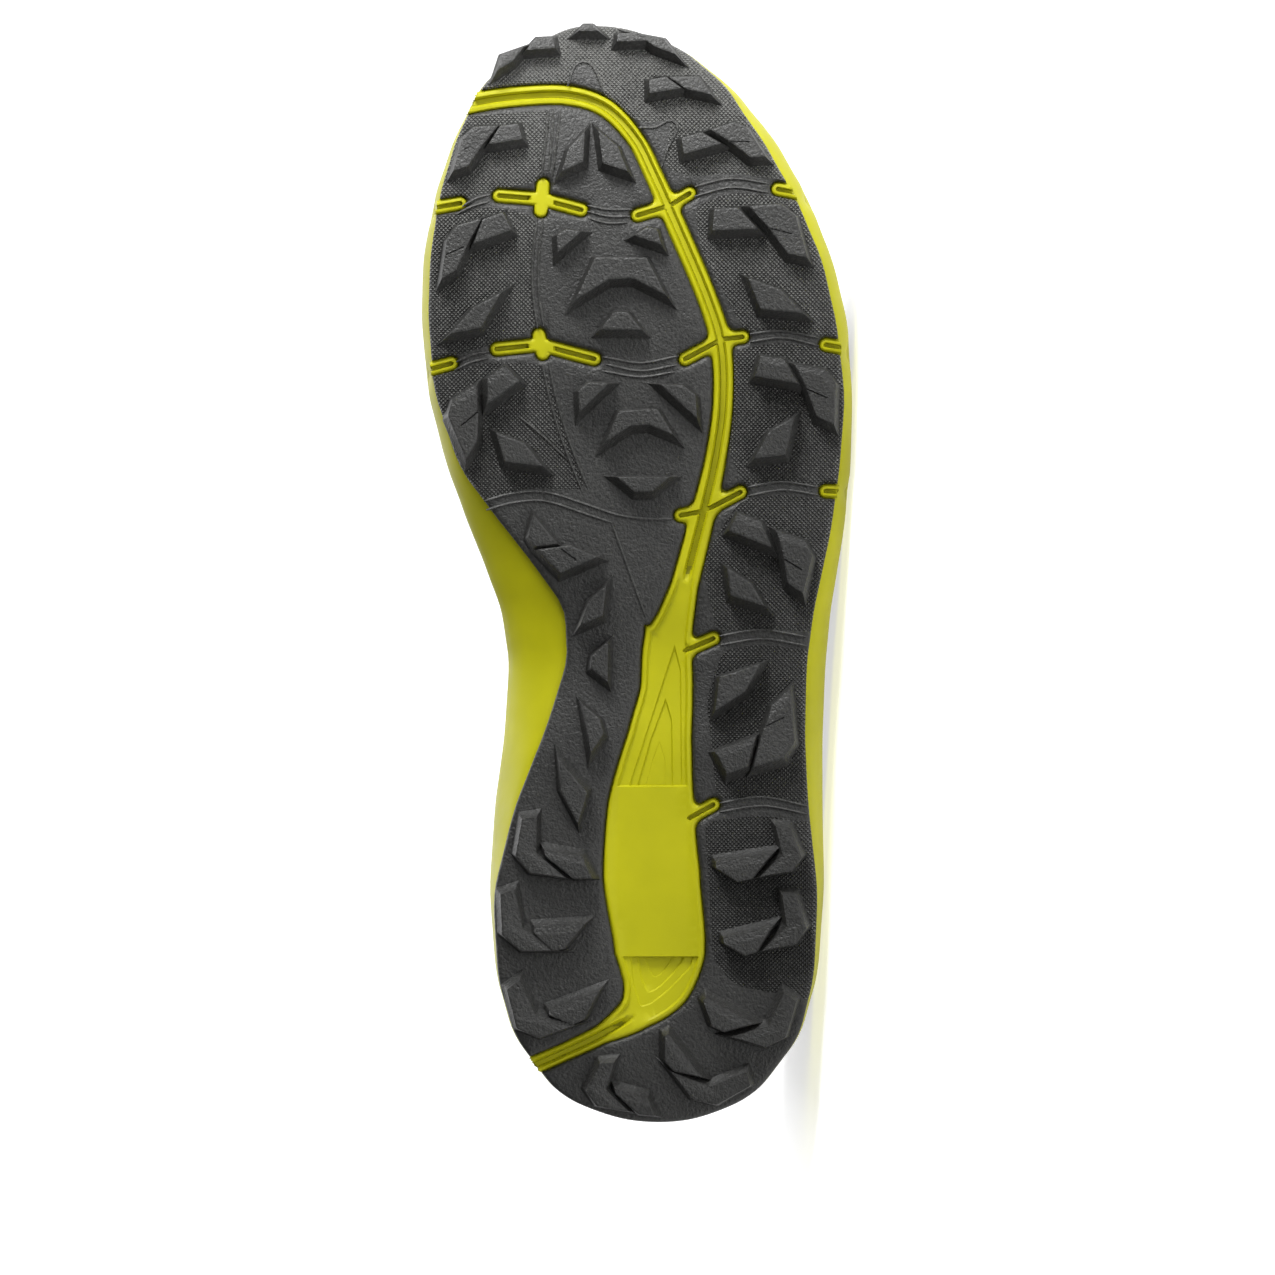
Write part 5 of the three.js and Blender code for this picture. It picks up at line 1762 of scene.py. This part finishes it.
def rubber_base(name, lift, toe_painted_light):
    """Nodes of the rubber, the height of its moulded grain, and its tone, lighter near the toe as painted
    light.
    """
    nodes = Nodes(name)
    x, _, _ = nodes.axes()
    coarse = nodes.noise(0.85, 1.0, 0.5)
    fine = nodes.noise(0.5, 1.0, 0.5)
    grain = nodes.math("ADD", nodes.math("MULTIPLY", coarse, 0.65), nodes.math("MULTIPLY", fine, 0.35))
    cloud = nodes.noise(16, 3)
    # Painted light: the tone rises steeply towards the toe, where the light and sheen fall
    painted_toe_light = nodes.math("MULTIPLY_ADD", nodes.math("POWER", nodes.math("MAXIMUM", x, 0.0), 4.0),
                            toe_painted_light, lift)
    tone = nodes.math("ADD", nodes.math("MULTIPLY_ADD", cloud, 0.25, painted_toe_light),
                      nodes.math("MULTIPLY_ADD", grain, 1.1, -0.55))
    return nodes, grain, tone


def rubber_plain_material():
    # Grained rubber, its tone with painted light towards the toe
    nodes, grain, tone = rubber_base("rubber_grained", 0.10, 22.0)
    soft = nodes.bump(nodes.noise(7.0, 2.0), 0.3, 0.3)
    normal = nodes.bump(grain, 0.5, 0.8, soft)
    roughness = nodes.math("MULTIPLY_ADD", nodes.noise(3.0, 3), 0.16, 0.42)
    return nodes.finish(nodes.ramp(tone, RUBBER_STOPS), roughness, normal, Specular_IOR_Level=0.5)


def rubber_ridges_tone_material():
    """Fine ridges, where the rubber's tone is lighter, with stronger painted light towards the toe than on
    the plain rubber.
    """
    nodes, grain, tone = rubber_base("rubber_ridges", 0.30, 40.0)
    normal = nodes.bump(grain, 0.6, 0.8)
    return nodes.finish(nodes.ramp(tone, RUBBER_STOPS), None, normal, Roughness=0.5, Specular_IOR_Level=0.5)


def rubber_knurl_material():
    """Rubber with a fine cross-hatch of small pyramids, their tops lighter as a painted highlight, and
    strong painted light towards the toe.
    """
    nodes, grain, tone = rubber_base("rubber_knurled", -0.03, 95.0)
    x, y, _ = nodes.axes()
    first = wave(nodes, nodes.math("ADD", x, y), KNURL_PITCH)
    second = wave(nodes, nodes.math("SUBTRACT", x, y), KNURL_PITCH)
    height = nodes.math("MINIMUM", first, second)
    soft = nodes.bump(grain, 0.3, 0.5)
    normal = nodes.bump(height, 1.0, 1.0, soft)
    # Painted highlight: the tone is lighter on the pyramids' tops
    lit = nodes.math("ADD", tone, nodes.math("MULTIPLY", height, 0.9))
    roughness = nodes.math("MULTIPLY_ADD", nodes.noise(3.0, 3), 0.16, 0.40)
    return nodes.finish(nodes.ramp(lit, RUBBER_STOPS), roughness, normal, Specular_IOR_Level=0.5)


def foam_strip_material(name, dark, light):
    nodes = Nodes(name)
    skin = nodes.bump(nodes.noise(0.35, 2.0), 0.06, 0.35)
    normal = nodes.bump(nodes.noise(9.0, 2.0), 0.3, 0.2, skin)
    colour = nodes.ramp(nodes.noise(22, 3), [(0.3, dark), (0.7, light)])
    roughness = nodes.math("MULTIPLY_ADD", nodes.noise(4.0, 3), 0.15, 0.42)
    return nodes.finish(colour, roughness, normal, Specular_IOR_Level=0.22)


def knit_material(name, dark, light, pitch, depth, sheen):
    """Engineered mesh: small round openings in staggered rows between raised yarns."""
    nodes = Nodes(name)
    x, y, z = nodes.axes()
    around = nodes.math("ADD", y, z)
    first = wave(nodes, nodes.math("ADD", x, around), pitch)
    second = wave(nodes, nodes.math("SUBTRACT", x, around), pitch)
    cell = nodes.math("MULTIPLY", first, second)
    yarn = nodes.noise(0.25, 2.0)
    height = nodes.math("MULTIPLY_ADD", yarn, 0.3, nodes.math("SUBTRACT", 1.0, cell))
    colour = nodes.ramp(height, [(0.35, dark), (1.0, light)])
    normal = nodes.bump(height, depth, 0.8)
    nodes.shader.inputs["Sheen Weight"].default_value = sheen
    return nodes.finish(colour, None, normal, Roughness=0.85)


def film_material():
    """Matt synthetic overlay with a fine leather-like grain."""
    nodes = Nodes("synthetic_overlay")
    cells = nodes.add("ShaderNodeTexVoronoi")
    cells.inputs["Scale"].default_value = 900.0
    nodes.link(nodes.place, cells.inputs["Vector"])
    grain = nodes.bump(cells.outputs["Distance"], 0.12, 0.5)
    normal = nodes.bump(nodes.noise(9.0, 2), 0.2, 0.2, grain)
    colour = nodes.ramp(nodes.noise(30, 2), [(0.3, (0.034, 0.035, 0.034)), (0.7, (0.042, 0.043, 0.041))])
    roughness = nodes.math("MULTIPLY_ADD", nodes.noise(1.5, 2), 0.12, 0.46)
    return nodes.finish(colour, roughness, normal)


def braid_material():
    """Lace of crossed strands, the hollows between them darker as painted shade."""
    nodes = Nodes("braided_lace")
    x, y, _ = nodes.axes()
    first = wave(nodes, nodes.math("ADD", x, y), BRAID_PITCH)
    second = wave(nodes, nodes.math("SUBTRACT", x, y), BRAID_PITCH)
    height = nodes.math("MAXIMUM", first, second)
    colour = nodes.ramp(height, [(0.3, LACE_HOLLOW_SHADE), (0.9, LACE_LIGHT)])
    return nodes.finish(colour, None, nodes.bump(height, 0.35, 0.8), Roughness=0.8)


def stitch_material():
    nodes = Nodes("thread")
    colour = nodes.ramp(nodes.noise(0.8, 1), [(0.3, (0.10, 0.10, 0.095)), (0.7, (0.16, 0.16, 0.15))])
    return nodes.finish(colour, None, nodes.bump(nodes.noise(0.3, 1), 0.1, 0.5), Roughness=0.7)


def stage_material(name):
    """Pale studio paper, lit from behind as on a light table."""
    nodes = Nodes(name)
    colour = nodes.ramp(nodes.noise(400, 2), [(0.3, (0.80, 0.80, 0.80)), (0.7, (0.795, 0.795, 0.795))])
    nodes.shader.inputs["Emission Color"].default_value = (1, 1, 1, 1)
    return nodes.finish(colour, None, None, Roughness=0.9, Specular_IOR_Level=0.1, Emission_Strength=0.60)


rubber_plain = rubber_plain_material()
rubber_knurl = rubber_knurl_material()
rubber_ridges_tone = rubber_ridges_tone_material()
foam_material = foam_strip_material("moulded_foam", FOAM_DARK, FOAM_LIGHT)
recess_shade_material = foam_strip_material("foam_recess_shade", RECESS_SHADE_DARK, RECESS_SHADE_LIGHT)
mesh_material = knit_material("upper_mesh", (0.012, 0.012, 0.012), (0.075, 0.077, 0.074), 1.5, 0.5, 0.2)
lining_material = knit_material("lining_knit", (0.012, 0.012, 0.012), (0.035, 0.035, 0.034), 1.0, 0.3, 0.3)
tongue_material = knit_material("tongue_knit", (0.015, 0.015, 0.015), (0.06, 0.061, 0.058), 1.2, 0.35, 0.3)
insole_material = knit_material("insole_cloth", (0.02, 0.02, 0.02), (0.05, 0.05, 0.048), 0.8, 0.2, 0.2)
overlay_material = film_material()
lace_material = braid_material()
thread_material = stitch_material()

# Pieces, each on the body and for the CAD node that it stands for


def dressed(obj, slot, *nodes):
    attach(obj, "root")
    if nodes:
        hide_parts(*nodes)
    return obj


rubber_plates = plates()
dressed(outsole("outsole_rubber_medial", True, *rubber_plates), "rubber", "outsole_medial")
dressed(outsole("outsole_rubber_lateral", False, *rubber_plates), "rubber", "outsole_lateral")
dressed(midsole(), "foam", "midsole")

upper_materials_used = [mesh_material, overlay_material, lining_material]
upper_object = upper().build("upper_shell", upper_materials_used, LASTED_EDGE)
punched(upper_object)
dressed(upper_object, "upper_fabric", "upper")
eyelet_rings = Shell()
for row in range(EYELET_ROWS):
    for lateral in (True, False):
        eyelet_ring(eyelet_turn(row, lateral), eyelet_rings)
dressed(eyelet_rings.build("eyelet_rings", [overlay_material], LASTED_EDGE), "upper_fabric")
dressed(stitches(), "upper_fabric")
tongue_object = dressed(tongue(), "lining", "tongue")
dressed(insole(), "lining", "insole")
dressed(laces(), "lace", "laces")

# Floor, backdrop, light and camera

CAMERA_DISTANCE = 3.0
FRAME_WIDTH = 0.3474
FRAME_MIDDLE = (132.3, 0.0, 4.5)
BACKDROP_FROM = 4.5
STAGE_REACH = 6.0
STAGE_BEND_STEPS = 12
STAGE_HEIGHT = 4.0
WORLD_LIGHT = 0.16

# Lights: name, place, target, size and power
SHOE_MIDDLE = (0, -0.05, 0.06)
LIGHTS = [
    ("key_toe_side", (0.80, -0.42, 0.38), (0.05, -0.05, 0.06), (0.3, 0.3), 11),
    ("fill_front", (1.1, -1.7, 1.2), SHOE_MIDDLE, (1.4, 1.2), 5),
    ("overhead_behind", (0.25, 1.2, 1.9), (0, 0.05, 0.05), (1.6, 1.2), 26),
    ("backdrop_wash", (0, 2.6, 2.6), (0, 5.5, 1.4), (3.0, 1.5), 170),
]


def studio():
    """Pale floor that curves up into a backdrop behind the shoe."""
    profile = [(-STAGE_REACH, 0.0), (BACKDROP_FROM, 0.0)]
    for step in range(1, STAGE_BEND_STEPS + 1):
        angle = step / STAGE_BEND_STEPS * math.pi / 2
        profile.append((BACKDROP_FROM + math.sin(angle), 1 - math.cos(angle)))
    profile.append((BACKDROP_FROM + 1, STAGE_HEIGHT))
    points = [(x, y, z) for x in (-STAGE_REACH, STAGE_REACH) for y, z in profile]
    count = len(profile)
    faces = [(i, i + 1, count + i + 1, count + i) for i in range(count - 1)]
    mesh = bpy.data.meshes.new("studio")
    mesh.from_pydata(points, [], faces)
    mesh.shade_smooth()
    mesh.materials.append(stage_material("pale_studio"))
    obj = bpy.data.objects.new("studio", mesh)
    bpy.context.scene.collection.objects.link(obj)


def soft_light(name, place, target, size, power):
    """Rectangular area light that looks at a target."""
    data = bpy.data.lights.new(name, "AREA")
    data.shape = "RECTANGLE"
    data.size, data.size_y = size
    data.energy = power
    obj = bpy.data.objects.new(name, data)
    bpy.context.scene.collection.objects.link(obj)
    obj.location = place
    obj.rotation_mode = "QUATERNION"
    obj.rotation_quaternion = (Vector(target) - Vector(place)).to_track_quat("-Z", "Y")


def lights():
    """The lamps, and an even white world."""
    for row in LIGHTS:
        soft_light(*row)
    world = bpy.data.worlds.new("studio_air")
    world.use_nodes = True
    background = world.node_tree.nodes["Background"]
    background.inputs[0].default_value = (1, 1, 1, 1)
    background.inputs[1].default_value = WORLD_LIGHT
    bpy.context.scene.world = world


def camera():
    """Camera square to the sole, rolled so that the toe points up, as in the photograph."""
    data = bpy.data.cameras.new("camera")
    data.sensor_width = 36.0
    data.lens = 36.0 * CAMERA_DISTANCE / FRAME_WIDTH
    data.clip_start = 0.01
    obj = bpy.data.objects.new("camera", data)
    bpy.context.scene.collection.objects.link(obj)
    turned = shoe_matrix.to_3x3()
    along, side, up = (turned.col[k].copy() for k in range(3))
    place = shoe_matrix @ (Vector(FRAME_MIDDLE) * 0.001) - up * CAMERA_DISTANCE
    basis = Matrix((side, along, -up)).transposed()
    obj.matrix_world = Matrix.Translation(place) @ basis.to_4x4()
    bpy.context.scene.camera = obj


studio()
lights()
camera()
bpy.context.scene.view_settings.view_transform = "Standard"
